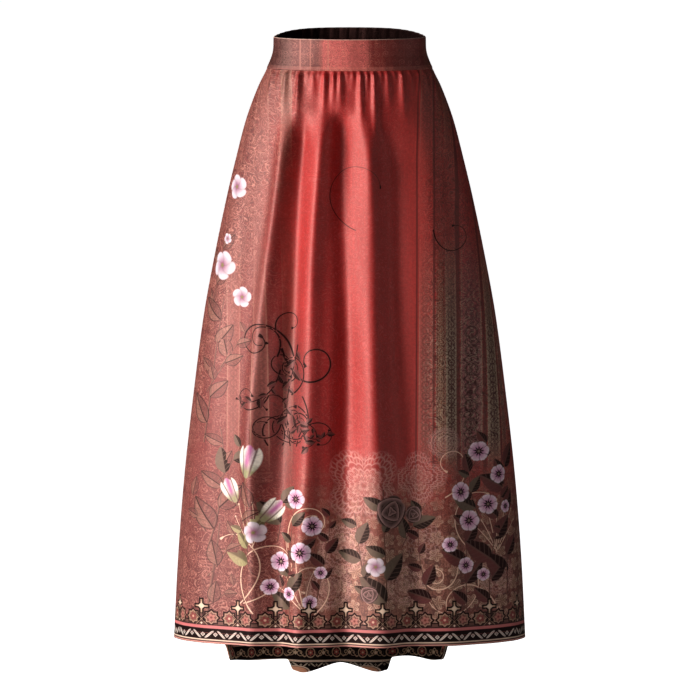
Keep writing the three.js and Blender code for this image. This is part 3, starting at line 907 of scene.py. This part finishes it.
# Stems: across, down, heading from upright, length, bend at start and end per metre, half width, style
# (1 stem, 2 scroll, 3 flourish), leaf length and kind (1 olive, 2 deep green, 3 maroon, 4 drawn)
FRONT_STEMS = [
    (-226, 914, 4, 150, 1.6, -1.4, 2.6, 1, 0, 4),
    (-224, 800, 16, 190, -1.0, -4.0, 1.7, 1, 60, 4),
    (-232, 640, 10, 230, -1.0, 1.0, 1.5, 1, 64, 4),
    (-222, 440, 4, 130, 1.0, 3.0, 1.0, 1, 44, 4),
    (-226, 850, 40, 160, -5.0, 6.0, 1.2, 1, 50, 4),
    (-228, 780, -30, 90, 3.0, 2.0, 1.0, 1, 50, 4),
    (-228, 560, 34, 80, -3.0, 2.0, 1.0, 1, 52, 4),
    (-212, 700, 44, 90, -8.0, 4.0, 1.0, 1, 42, 2),
    (-206, 520, 30, 90, 6.0, -8.0, 1.0, 1, 38, 4),
    (-232, 900, 60, 80, -8.0, 2.0, 1.0, 1, 40, 4),
    (-160, 822, 10, 70, -6.0, 3.0, 1.1, 1, 46, 1),
    (-84, 480, 190, 130, 4, -10, 1.3, 3, 24, 3),
    (-96, 640, -20, 120, 30, 60, 1.2, 3, 20, 3),
    (-84, 590, 170, 80, -10, -60, 1.1, 3, 16, 3),
    (-112, 520, 190, 100, 10, 30, 1.2, 3, 20, 3),
    (-150, 842, -28, 90, 6.0, 3.0, 1.0, 1, 46, 1),
    (-118, 790, 14, 90, -6.0, 3.0, 0.9, 1, 50, 2),
    (-92, 915, -10, 200, 4.0, -2.0, 0.9, 1, 42, 2),
    (-52, 880, 10, 150, 2.0, -6.0, 0.9, 1, 34, 3),
    (-120, 880, 30, 110, 2.0, -6.0, 0.9, 1, 36, 3),
    (52, 915, 10, 210, -4.0, 3.0, 1.4, 1, 58, 2),
    (36, 890, -24, 150, 6.0, -3.0, 1.2, 1, 44, 2),
    (84, 800, 30, 80, 2.0, -6.0, 1.0, 1, 40, 2),
    (186, 915, -4, 210, 2.0, -3.0, 1.0, 1, 50, 3),
    (224, 915, -8, 250, 4.0, -2.0, 1.1, 1, 56, 3),
    (252, 880, 4, 230, -2.0, 2.0, 1.2, 1, 60, 3),
    (208, 760, -24, 120, 6.0, 2.0, 1.0, 1, 46, 2),
    (140, 900, -30, 140, 6.0, 2.0, 0.9, 1, 40, 3),
    (182, 700, 30, 90, 2.0, -6.0, 0.9, 1, 44, 3),
]
# Scrolls: the same columns up to the style
FRONT_SCROLLS = [
    (-98, 800, -6, 200, 4, 84, 1.0, 2),
    (-150, 905, -40, 210, 8, 34, 1.1, 2),
    (-190, 900, 60, 190, -6, -30, 1.0, 2),
    (-176, 890, 84, 150, -12, -12, 1.0, 2),
    (168, 800, 172, 210, -2, 115, 1.1, 2),
    (196, 830, 150, 150, 16, 30, 1.0, 2),
    (-90, 576, 90, 170, 37, 40, 1.3, 3),
    (-90, 590, 60, 110, 50, 110, 1.2, 3),
    (-100, 612, 200, 90, -50, -120, 1.1, 3),
    (150, 722, 60, 150, -4, -70, 1.0, 2),
    (-56, 904, 50, 160, -10, -60, 1.0, 2),
    (186, 800, -50, 130, 16, 30, 1.0, 2),
    (236, 906, -20, 170, -8, -50, 1.1, 2),
    (-92, 500, -16, 190, -4, -72, 1.7, 3),
    (-110, 486, 168, 200, -8, -60, 2.0, 3),
    (-74, 560, 150, 200, 10, 62, 1.3, 3),
    (-116, 500, 24, 120, -14, -90, 1.4, 3),
    (-96, 560, 60, 130, -12, -80, 1.4, 3),
    (-128, 560, 200, 110, 20, 90, 1.2, 3),
    (-110, 640, 20, 110, -16, -80, 1.3, 3),
    (-120, 600, 60, 90, -30, -90, 1.2, 3),
    (-96, 620, -50, 90, 30, 110, 1.2, 3),
    (-104, 530, -80, 80, 30, 120, 1.2, 3),
    (-100, 540, 70, 80, -30, -120, 1.2, 3),
    (-112, 600, 180, 90, 24, 100, 1.2, 3),
    (-130, 640, -30, 100, 14, 90, 1.3, 3),
    (-112, 470, -30, 90, 20, 100, 1.3, 3),
    (-84, 640, 10, 120, 10, 76, 1.2, 3),
    (10, 300, -70, 200, 14, 30, 0.7, 3),
    (132, 300, 176, 120, -20, -64, 1.0, 3),
]
# Fans of fine lines: across, down, heading of the middle, spread, count, length, bend, half width, style
FRONT_FANS = [
    (234, 812, 0, 70, 7, 84, 8, 0.8, 2),
    (-150, 800, -10, 60, 5, 78, -12, 0.8, 2),
    (-70, 900, -20, 50, 4, 90, 12, 0.8, 2),
]
LINE_STEP = 1.2  # mm from point to point along a drawn line
LEAF_PITCH = 0.62  # from leaf to leaf along a stem, as a share of a leaf's length


def fan_lines(fans):
    """Rows like those of the scrolls, spread evenly about each fan's heading and bending away from it."""
    rows = []
    for across, down, heading, spread, count, length, bend, half, style in fans:
        for k in range(count):
            off = 2 * k / (count - 1) - 1
            reach = length * (1 - 0.25 * off * off)
            rows.append((across, down, heading + off * spread / 2, reach, 0, bend * off, half, style))
    return rows


def drawn_curve(across, down, heading, length, bend_start, bend_end):
    """Points, headings and shares along a curve whose bend changes evenly, in metres."""
    s = np.linspace(0, 1, int(length / LINE_STEP) + 2)
    turn = math.radians(heading) + (bend_start * s + (bend_end - bend_start) * s * s / 2) * length * MM
    step = length * MM / (len(s) - 1)
    x = across * MM + np.concatenate([[0], np.cumsum(np.sin(turn[:-1]) * step)])
    y = down * MM - np.concatenate([[0], np.cumsum(np.cos(turn[:-1]) * step)])
    return np.stack([x, y], axis=-1), turn, s


def leaves_along(stems):
    """Leaves by turns on each side of the stems: across, down, half length in mm, kind, turn in degrees."""
    leaves = []
    for across, down, heading, length, start, end, half, style, leaf, kind in stems:
        points, turn, s = drawn_curve(across, down, heading, length, start, end)
        count = int(length / (leaf * LEAF_PITCH)) if leaf else 0
        for k in range(count):
            i = int((k + 0.8) / (count + 0.6) * (len(s) - 1))
            lean = (0.8 + 0.3 * math.sin(3.7 * k)) * (1 if k % 2 else -1)
            size = leaf * (0.8 + 0.24 * math.sin(5.1 * k + across)) * (1 - 0.25 * s[i])
            way = turn[i] + lean
            centre = points[i] / MM + np.array([math.sin(way), -math.cos(way)]) * size * 0.5
            leaves.append((centre[0], centre[1], size * 0.5, kind, math.degrees(way)))
    return leaves


def lay_motifs(mesh, name, uv, faces, rows):
    """Writes each face corner's place in the frame of the nearest motif."""
    centres = uv[faces].mean(axis=1)
    places = np.full((len(faces), 4, 3), 9.0)
    places[..., 2] = 0
    best = np.full(len(faces), 1.3)
    for across, down, radius, kind, degrees in rows:
        at = np.array([across, down]) * MM
        size = radius * MM
        far = np.hypot(*(centres - at).T) / size
        mine = np.flatnonzero(far < best)
        best[mine] = far[mine]
        off = (uv[faces[mine]] - at) / size
        turn = math.radians(degrees)
        ahead = np.array([math.sin(turn), -math.cos(turn)])
        places[mine, :, 0] = off @ ahead
        places[mine, :, 1] = off @ np.array([-ahead[1], ahead[0]])
        places[mine, :, 2] = kind + degrees % 360 / 400
    write_attribute(mesh, name, "CORNER", places)


def lay_lines(mesh, name, uv, faces, rows):
    """Writes each face corner's place along and across the nearest drawn line."""
    centres = uv[faces].mean(axis=1)
    places = np.zeros((len(faces), 4, 3))
    places[..., 1] = 99
    best = np.full(len(faces), 1e9)
    for across, down, heading, length, start, end, half, style, *_ in rows:
        points, turn, s = drawn_curve(across, down, heading, length, start, end)
        reach = (half * 3 + 5) * MM
        low, high = points.min(axis=0) - reach, points.max(axis=0) + reach
        close = np.flatnonzero(((centres > low) & (centres < high)).all(axis=1))
        if not len(close):
            continue
        far = np.hypot(*(centres[close][:, None] - points[None]).transpose(2, 0, 1))
        nearest = far.argmin(axis=1)
        distance = far.min(axis=1)
        mine = (distance < reach) & (distance < best[close])
        nearest, close = nearest[mine], close[mine]
        best[close] = distance[mine]
        window = np.clip(nearest[:, None] + np.arange(-8, 9), 0, len(s) - 1)
        corners = uv[faces[close]]
        gaps = corners[:, :, None] - points[window][:, None]
        pick = np.hypot(gaps[..., 0], gaps[..., 1]).argmin(axis=2)
        index = np.take_along_axis(window, pick, axis=1)
        off = corners - points[index]
        along = np.stack([np.sin(turn[index]), -np.cos(turn[index])], axis=-1)
        ahead = (off * along).sum(axis=-1)
        beside = off[..., 0] * along[..., 1] - off[..., 1] * along[..., 0]
        places[close, :, 0] = s[index] + ahead / (length * MM)
        places[close, :, 1] = beside / (half * MM)
        places[close, :, 2] = style
    write_attribute(mesh, name, "CORNER", places)


def lay_print(piece, uv, faces, blooms, lace, stems, scrolls, fans):
    """Lays the layers of motifs on a piece's faces, the leaves and blooms by turns in two layers each, so
    that neighbours may overlap."""
    mesh = piece.data
    leaves = leaves_along(stems)
    lay_motifs(mesh, "lace", uv, faces, lace)
    lay_motifs(mesh, "leaf_under", uv, faces, leaves[::2])
    lay_motifs(mesh, "leaf_over", uv, faces, leaves[1::2])
    lay_motifs(mesh, "bloom_under", uv, faces, blooms[::2])
    lay_motifs(mesh, "bloom_over", uv, faces, blooms[1::2])
    lay_lines(mesh, "stem", uv, faces, stems)
    lay_lines(mesh, "scroll", uv, faces, scrolls + fan_lines(fans))


MOTIFS = [
    ("lace", lace_group),
    ("scroll", line_group),
    ("stem", line_group),
    ("leaf_under", leaf_group),
    ("leaf_over", leaf_group),
    ("bloom_under", bloom_group),
    ("bloom_over", bloom_group),
]
lay_print(front, front_uv, front_faces, FRONT_BLOOMS, FRONT_LACE, FRONT_STEMS, FRONT_SCROLLS, FRONT_FANS)
front_print = printed_satin("front_print", ground_group, front_border_group, MOTIFS, HEM_SEAM)
front.data.materials.append(front_print)

# Skirt back
# The back panel, cut longer than the front, its middle pressed inwards between two steep folds so that
# its hem shows below the front's in lobes. Gathered and hemmed like the front, with a wider border.

BACK_GATHERS = [
    (-150, 48, 2.2), (-133, 70, 2.8), (-117, 34, 2.2), (-104, 88, 3.4), (-90, 40, 2.4), (-78, 64, 3.0),
    (-65, 110, 3.8), (-52, 36, 2.4), (-41, 72, 3.2), (-29, 96, 3.6), (-17, 44, 2.6), (-6, 78, 3.4),
    (6, 52, 2.8), (18, 104, 3.8), (31, 38, 2.4), (43, 82, 3.4), (55, 46, 2.6), (68, 92, 3.6),
    (82, 34, 2.2), (95, 74, 3.2), (109, 42, 2.4), (124, 86, 3.0), (141, 50, 2.4), (158, 40, 2.0),
]
BACK_FOLDS = [
    (-150, -232, 16, 20, 200, 1140, 420, 60, -10),
    (-104, -146, 20, 34, 110, 1140, 330, 60, 13),
    (-66, -92, 15, 20, 100, 520, 120, 420, -10),
    (-28, -18, 14, 20, 90, 1140, 150, 60, 12),
    (14, 36, 13, 22, 110, 540, 110, 420, -12),
    (62, 112, 20, 32, 100, 1140, 300, 60, 13),
    (118, 190, 16, 20, 190, 1140, 380, 60, -11),
    (166, 262, 20, 34, 240, 1140, 420, 60, 5),
    (-186, -300, 20, 34, 240, 1140, 420, 60, 5),
]
VALLEY = {"left": -95, "right": 64, "edge": 10, "from": 420, "grow": 480, "height": -30}
VALLEY_TOP_SHARE = 0.55
WALL_PULL = 0.6
WALL_CROWD = 0.16
# How far the hem hangs below the level line, and the print's border with it, by girth at the hem
BACK_HEM = {
    "at": [-440, -330, -230, -207, -150, -106, -88, -70, -15, 38, 56, 74, 100, 136, 154, 178, 330, 440],
    "drop": [0, 5, 20, 54, 58, 57, 74, 77, 62, 76, 74, 54, 53, 58, 56, 20, 4, 0],
}
BORDER_DIPS = {
    "at": [-440, -330, -232, -200, 0, 150, 182, 330, 440],
    "drop": [0, 5, 20, 75, 75, 75, 20, 4, 0],
}


def valley_height(along, drop):
    grown = smooth((drop - VALLEY["from"]) / VALLEY["grow"])
    share = mix(VALLEY_TOP_SHARE, 1, grown)
    left = np.tanh((along - VALLEY["left"] * share) / VALLEY["edge"])
    right = np.tanh((along - VALLEY["right"] * share) / VALLEY["edge"])
    return VALLEY["height"] * grown * (left - right) / 2


def crowded(angle, drop):
    """Columns crowd onto the steep sides of the valley, as the cloth does."""
    grown = smooth((drop - VALLEY["from"]) / VALLEY["grow"])
    hem_width, _ = section(SIDE_LENGTH, "back")
    moved = angle + 0 * drop
    for wall in (VALLEY["left"], VALLEY["right"]):
        off = angle - math.asin(wall / hem_width)
        moved = moved - grown * WALL_PULL * off * bell(off / WALL_CROWD)
    return moved


back, back_uv, back_faces = panel(
    "skirt_back_cloth",
    "back",
    BACK_GATHERS,
    BACK_FOLDS,
    longer=lambda g: steps_through(BACK_HEM["at"], BACK_HEM["drop"], g),
    valley=valley_height,
    crowd=crowded,
)
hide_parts("skirt_back")


def build_scroll_band(u, h):
    """Roundels with rosettes and waving scrolls on black. h is the height from the band's middle, mm."""
    pitch = 46
    a = (part_of(u / pitch) - 0.5) * pitch
    r, turn = polar(a, h)
    roundel = near(r, 7.6, 0.8, 0.4)
    petals = below(r, 5.6 * (0.62 + 0.38 * abs(sine(turn * 3))), 0.5)
    heart = below(r, 1.6, 0.4)
    wave = sine(u * math.tau / pitch * 2 + 1.2)
    vine = near(h, 6.2 * wave, 0.9, 0.5) * above(r, 9, 0.5)
    c = (part_of(u / pitch + 0.5) - 0.5) * pitch
    s, spin = polar(abs(c) - 6.4, h)
    curl = near(part_of(s / 4.2 - spin / math.tau), 0.5, 0.14, 0.08) * below(s, 5.6, 0.4)
    bud = below(abs(c) * 1.1 + abs(h) * 0.8, 3.0, 0.5)
    colour = paint(INK, most(vine, curl, roundel), tone(196, 166, 134))
    colour = paint(colour, petals, tone(160, 72, 62))
    colour = paint(colour, most(heart, bud), tone(214, 190, 160))
    return colour, most(vine, curl)


scroll_band_group = group_of("Scroll band", build_scroll_band, ROW, MOTIF)


# The back border's heights over the hem in mm
BACK_BORDER = {
    "scallop_pitch": 62, "braid": 10.5, "braid_half": 3.4, "braid_pitch": 13.0, "cream_line": 16.5,
    "scrolls_from": 19, "scrolls": 30, "sand_line": 42.2, "pink_line": 46, "cartouches": 49,
}


def build_back_border(u, h):
    """The back hem's border, by height over the hem in mm: scallops, braid, line, scroll band, pink line,
    cartouches."""
    tree = u.tree
    at = BACK_BORDER
    a = (part_of(u / at["scallop_pitch"]) - 0.5) * at["scallop_pitch"]
    r, _ = polar(a * 0.4, h)
    colour = paint(INK, below(r, 7.4, 0.6), tone(206, 150, 118))
    colour = paint(colour, near(r, 8.6, 0.5, 0.3), CREAM)
    _, mask = use(tree, braid_group, u, h - at["braid"], at["braid_half"], at["braid_pitch"])
    colour = paint(colour, mask * above(r, 9.4, 0.5), tone(206, 192, 168))
    colour = paint(colour, near(h, at["cream_line"], 1.6, 0.4), CREAM)
    banded, _ = use(tree, scroll_band_group, u, h - at["scrolls"])
    colour = paint(colour, above(h, at["scrolls_from"], 0.3), banded)
    colour = paint(colour, near(h, at["sand_line"], 0.6, 0.3), tone(190, 160, 136))
    colour = paint(colour, near(h, at["pink_line"], 2.4, 0.4), ROSE)
    boxes, shown = use(tree, cartouche_group, u, h - at["cartouches"])
    colour = paint(colour, above(h, at["cartouches"], 0.2), boxes)
    return colour, most(below(h, at["cartouches"], 0.3), shown)


back_border_group = group_of("Back border", build_back_border, ROW, MOTIF)

BACK_BLOOMS = [
    (-310, 260, 16, 2, 30), (-330, 330, 13, 2, 80), (-296, 402, 17, 2, 120), (-262, 650, 26, 4, 6),
    (-292, 700, 20, 4, -24), (-226, 706, 17, 1, 0), (-196, 748, 17, 1, 40), (-232, 786, 18, 1, 90),
    (-184, 806, 15, 1, 130), (-150, 850, 13, 1, 200), (-212, 862, 13, 1, 240), (-34, 742, 28, 3, 60),
    (8, 806, 21, 2, 110), (-62, 808, 15, 3, 200), (150, 700, 17, 1, 20), (190, 742, 18, 1, 60),
    (148, 776, 16, 1, 100), (216, 690, 15, 1, 140), (180, 824, 15, 1, 190), (232, 802, 14, 1, 230),
    (288, 720, 18, 2, 40), (310, 420, 16, 2, 70), (322, 500, 12, 2, 150), (266, 860, 13, 1, 280),
]
BACK_LACE = [
    (-120, 690, 54, 3, 0), (64, 690, 58, 3, 40), (100, 838, 30, 1, 100), (-96, 866, 34, 2, 50),
    (250, 868, 30, 2, 90), (-290, 850, 36, 2, 140), (20, 260, 42, 2, 0),
]
BACK_STEMS = [
    (-346, 915, 8, 330, 0.4, -1.2, 2.2, 1, 40, 4),
    (-336, 590, -4, 300, 1.0, 1.6, 1.4, 1, 40, 4),
    (-250, 950, 10, 260, -3.0, 2.0, 1.0, 1, 44, 1),
    (-180, 950, -14, 210, 2.0, -2.0, 0.9, 1, 34, 2),
    (-20, 950, -4, 230, -3.0, 3.0, 1.4, 1, 50, 2),
    (30, 950, 16, 160, 3.0, -3.0, 1.1, 1, 40, 2),
    (170, 950, 4, 250, 2.0, -2.0, 1.0, 1, 40, 3),
    (240, 950, -12, 220, 3.0, -3.0, 1.1, 1, 46, 3),
    (330, 900, 4, 420, -1.0, 1.0, 1.6, 1, 40, 4),
]
BACK_SCROLLS = [
    (-130, 930, 20, 200, -4, -80, 1.1, 2),
    (60, 930, -20, 200, 4, 84, 1.1, 2),
    (120, 930, 40, 170, -8, -60, 1.0, 2),
    (-60, 920, -40, 170, 8, 66, 1.0, 2),
    (60, 480, -20, 200, -4, -78, 1.7, 3),
    (20, 520, 165, 200, -8, -66, 2.0, 3),
    (290, 860, 30, 160, -10, -66, 1.0, 2),
]
BACK_FANS = [
    (-280, 900, 20, 70, 6, 90, 10, 0.9, 2),
    (210, 880, -10, 70, 6, 84, 8, 0.8, 2),
    (-30, 900, 0, 60, 5, 90, -12, 0.8, 2),
]
lay_print(back, back_uv, back_faces, BACK_BLOOMS, BACK_LACE, BACK_STEMS, BACK_SCROLLS, BACK_FANS)
back_print = printed_satin("back_print", ground_group, back_border_group, MOTIFS, HEM_SEAM, 1.0)
back.data.materials.append(back_print)

# Waistband front
# The front half of the band: satin folded over a stiffener, smooth, its top edge a rounded fold.

BAND_CLOTH = 2.6
BAND_PROUD = 0.8
EDGE_ROUND = 1.3
FRONT_BAND_COLUMNS = 160
BACK_BAND_COLUMNS = 352
BAND_ROWS = [0, 0.15, 0.5, 1.3, 3, 6, 10, 14, 18, 22, 26, 30, 34, 38, 42, 45, 47, 48.7, 49.5, 49.85, 50]
RUCHES = 22
RUCHE_HEIGHT = 0.9
RUCHE_EDGE = 0.22


def band(name, side, columns, waves):
    """Half of the band, with its rolled edges and shallow waves, as a shell with its print places."""
    rows = np.array(BAND_ROWS)[:, None]
    angle = QUARTER * np.linspace(-1, 1, columns + 1)[None, :]
    from_edge = np.minimum(rows, BAND_HEIGHT - rows)
    rolled = EDGE_ROUND - np.sqrt(np.maximum(EDGE_ROUND**2 - np.maximum(EDGE_ROUND - from_edge, 0) ** 2, 0))
    height = BAND_PROUD + waves(angle, rows) - rolled
    outer = place(rows + 0 * angle, angle, height, side)
    thickness = BAND_CLOTH - 2 * rolled[:, 0]
    drop = rows + 0 * angle
    places = np.stack([print_place(drop, angle, side), drop, SIDE_LENGTH - drop], axis=-1)
    return shell(name, outer, thickness, side, places)


def front_waves(angle, rows):
    dents = 0.5 * np.sin(angle * 9 + 0.6) * np.sin(rows / 17 + angle * 2)
    puckers = 0.22 * np.sin(angle * 61 + 2 * np.sin(angle * 7)) * smooth((rows - 34) / 14)
    return (dents + puckers) * smooth((QUARTER - np.abs(angle)) / RUCHE_EDGE)


def back_waves(angle, rows):
    pleats = np.cos(2 * RUCHES * angle) + 0.3 * np.cos(4 * RUCHES * angle + 3 * np.sin(5 * angle) + rows / 9)
    return RUCHE_HEIGHT * pleats * smooth((QUARTER - np.abs(angle)) / RUCHE_EDGE)


# The band's print, from the left to the right: each zone's left edge in mm across, and its colour. The pale
# pink zone from -45 is partly print and partly painted highlight where the band's front faces the light.
BAND_ZONES = [
    (-110, tone(104, 58, 46)),
    (-92, tone(92, 20, 16)),
    (-45, tone(186, 84, 80)),
    (31, tone(128, 14, 12)),
    (58, tone(122, 14, 14)),
    (120, tone(132, 60, 46)),
    (146, tone(112, 16, 14)),
]
# Fine light lines on it: centre, half width and softness
BAND_LINES = [(-78, 0.9, 0.6), (-62, 0.6, 0.5), (-34, 0.7, 0.5)]


def build_band_ground(u, v):
    """The band's print: upright zones between fine lines, all with engraved lines. Also painted on it: a
    highlight over the front's middle and in the pale pink zone, a pale highlight line along the rounded top
    fold, a lighter highlight strip along the seam, and shade that darkens the left part."""
    tree = u.tree
    cloud = noise(vector_of(tree, u, v), 0.05, 3.0, 0.6)
    colour = paint(tone(84, 22, 20), cloud, tone(104, 34, 28))
    for edge, zone in BAND_ZONES:
        colour = paint(colour, above(u, edge, 4), zone)
        colour = paint(colour, near(u, edge, 0.8, 0.5) * 0.35, tone(60, 8, 8))
    ribbed = near(part_of(u / 11.5), 0.5, 0.06, 0.05) * above(u, 31, 1)
    colour = paint(colour, ribbed * 0.3, tone(160, 80, 66))
    worm = noise(vector_of(tree, u, v), 0.09, 1.5, 0.5, 1.4)
    # centre is the band's front middle: a painted highlight there strengthens the light lines and, at the
    # end, brightens the colour.
    centre = near(u, -20, 70, 20)
    colour = paint(colour, near(part_of(worm * 8), 0.5, 0.14, 0.12) * 0.5, tone(66, 10, 10))
    lit = near(part_of(worm * 8 + 0.35), 0.5, 0.1, 0.1)
    colour = paint(colour, lit * (0.12 + 0.2 * centre), tone(222, 156, 134))
    (curls,) = use(tree, scrolls_group, u, v, 13.0, 6.0)
    colour = paint(colour, curls * 0.4, tone(224, 140, 122))
    (small,) = use(tree, scrolls_group, u, v, 9.0, 7.0)
    colour = paint(colour, small * 0.5, tone(86, 12, 12))
    marks, _, _ = use(tree, chain_group, u, v, -101, 17, 15)
    colour = paint(colour, marks * 0.7, UMBER)
    # Painted highlight: a lighter strip along the band's lower edge by the seam.
    colour = paint(colour, above(v, 43.5, 0.6) * 0.3, tone(206, 128, 112))
    for at, half, soft in BAND_LINES:
        colour = paint(colour, near(u, at, half, soft), tone(176, 110, 92))
    colour = paint(colour, near(u, 8, 7, 3) * 0.5, tone(150, 66, 60))
    # Painted shade: the band's left part darkened to half.
    colour = shade(colour, 0.5 + 0.5 * above(u, -62, 40))
    # Painted highlight: a pale line along the band's rounded top fold.
    colour = paint(colour, below(v, 0.9, 0.5) * 0.9, tone(240, 206, 190))
    fine = noise(vector_of(tree, u, v * 0.8), 0.4, 3.0, 0.75)
    # Painted highlight: the colour brightened over the band's front middle.
    return (shade(colour, (0.68 + fine * 0.64) * (0.9 + 0.3 * centre)),)


band_ground_group = group_of("Band ground", build_band_ground, CLOTH_PLACE, ["Colour"])
BAND_SEAM = SIDE_LENGTH - BAND_HEIGHT + 2  # over the hem, like the hem's own stitches
# The band's inner side at 0.05 is painted shade: its inside darkened nearly to black.
band_print_and_painted_light = printed_satin("band_print_and_painted_light", band_ground_group, None, [], BAND_SEAM, 0.05)
band_front, _, _ = band("waistband_front_cloth", "front", FRONT_BAND_COLUMNS, front_waves)
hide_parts("waistband_front")
band_front.data.materials.append(band_print_and_painted_light)

# Waistband back
# The back half of the band, ruched on the elastic that its fold holds.

band_back, _, _ = band("waistband_back_cloth", "back", BACK_BAND_COLUMNS, back_waves)
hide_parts("waistband_back")
band_back.data.materials.append(band_print_and_painted_light)


# Camera
# Far off with a long lens, a little above the middle of the skirt.

LENS = 800
SENSOR = 36
TARGET = Vector((0.0005, 0, -0.4739))
ELEVATION = math.radians(4.5)
SEEN_WIDTH = 1.1123
CAMERA_AWAY = SEEN_WIDTH * LENS / SENSOR
camera_data = bpy.data.cameras.new("camera")
camera_data.lens = LENS
camera_data.sensor_width = SENSOR
camera = bpy.data.objects.new("camera", camera_data)
bpy.context.scene.collection.objects.link(camera)
bpy.context.scene.camera = camera
camera.location = TARGET + Vector((0, -math.cos(ELEVATION), math.sin(ELEVATION))) * CAMERA_AWAY
camera.rotation_euler = (math.pi / 2 - ELEVATION, 0, 0)
camera_data.clip_end = 400

# Studio
# A large soft light from the front left, three weak ones from the left, the front and the right, a pale
# floor that shows white, and a faint white world.

LIGHT_AIM = Vector((0, 0, -0.5))
# Area lights: place, width and height in metres, watts, colour
LIGHTS = {
    "key": ((-3.5, -2.0, 0.5), (1.5, 1.8), 200, (1, 0.98, 0.96)),
    "side": ((-4.0, 0.55, 0.5), (1.0, 1.8), 26, (1, 0.98, 0.96)),
    "front": ((-0.8, -4.5, 0.3), (0.5, 1.6), 15, (1, 0.98, 0.97)),
    "right": ((4.2, -1.0, 0.3), (0.6, 1.8), 12, (1, 0.98, 0.97)),
}
for name, (at, size, watts, tint) in LIGHTS.items():
    light = bpy.data.lights.new(name, "AREA")
    light.shape = "RECTANGLE"
    light.size, light.size_y = size
    light.energy = watts
    light.color = tint
    lamp = bpy.data.objects.new(name, light)
    lamp.location = at
    lamp.rotation_euler = (LIGHT_AIM - Vector(at)).to_track_quat("-Z", "Y").to_euler()
    bpy.context.scene.collection.objects.link(lamp)

world = bpy.data.worlds.new("studio")
world.use_nodes = True
sky = world.node_tree.nodes["Background"]
sky.inputs["Color"].default_value = (1, 1, 1, 1)
sky.inputs["Strength"].default_value = 0.025
bpy.context.scene.world = world

FLOOR_LEVEL = -1.06
FLOOR_HALF = 60
CORNERS = ((-1, -1), (1, -1), (1, 1), (-1, 1))
floor_points = [(x * FLOOR_HALF, y * FLOOR_HALF, FLOOR_LEVEL) for x, y in CORNERS]
floor_mesh = bpy.data.meshes.new("floor")
floor_mesh.from_pydata(floor_points, [], [(0, 1, 2, 3)])
floor = bpy.data.objects.new("floor", floor_mesh)
bpy.context.scene.collection.objects.link(floor)
floor_look = bpy.data.materials.new("pale_floor")
floor_look.use_nodes = True
floor_tree = floor_look.node_tree
floor_shader = floor_tree.nodes["Principled BSDF"]
floor_shader.inputs["Base Color"].default_value = (0.9, 0.9, 0.9, 1)
floor_shader.inputs["Roughness"].default_value = 0.9
floor_shader.inputs["Emission Color"].default_value = (1, 1, 1, 1)
seen = floor_tree.nodes.new("ShaderNodeLightPath")
floor_tree.links.new(seen.outputs["Is Camera Ray"], floor_shader.inputs["Emission Strength"])
floor_mesh.materials.append(floor_look)

bpy.context.scene.view_settings.view_transform = "Standard"
bpy.context.scene.view_settings.look = "None"
bpy.context.scene.view_settings.gamma = 0.86
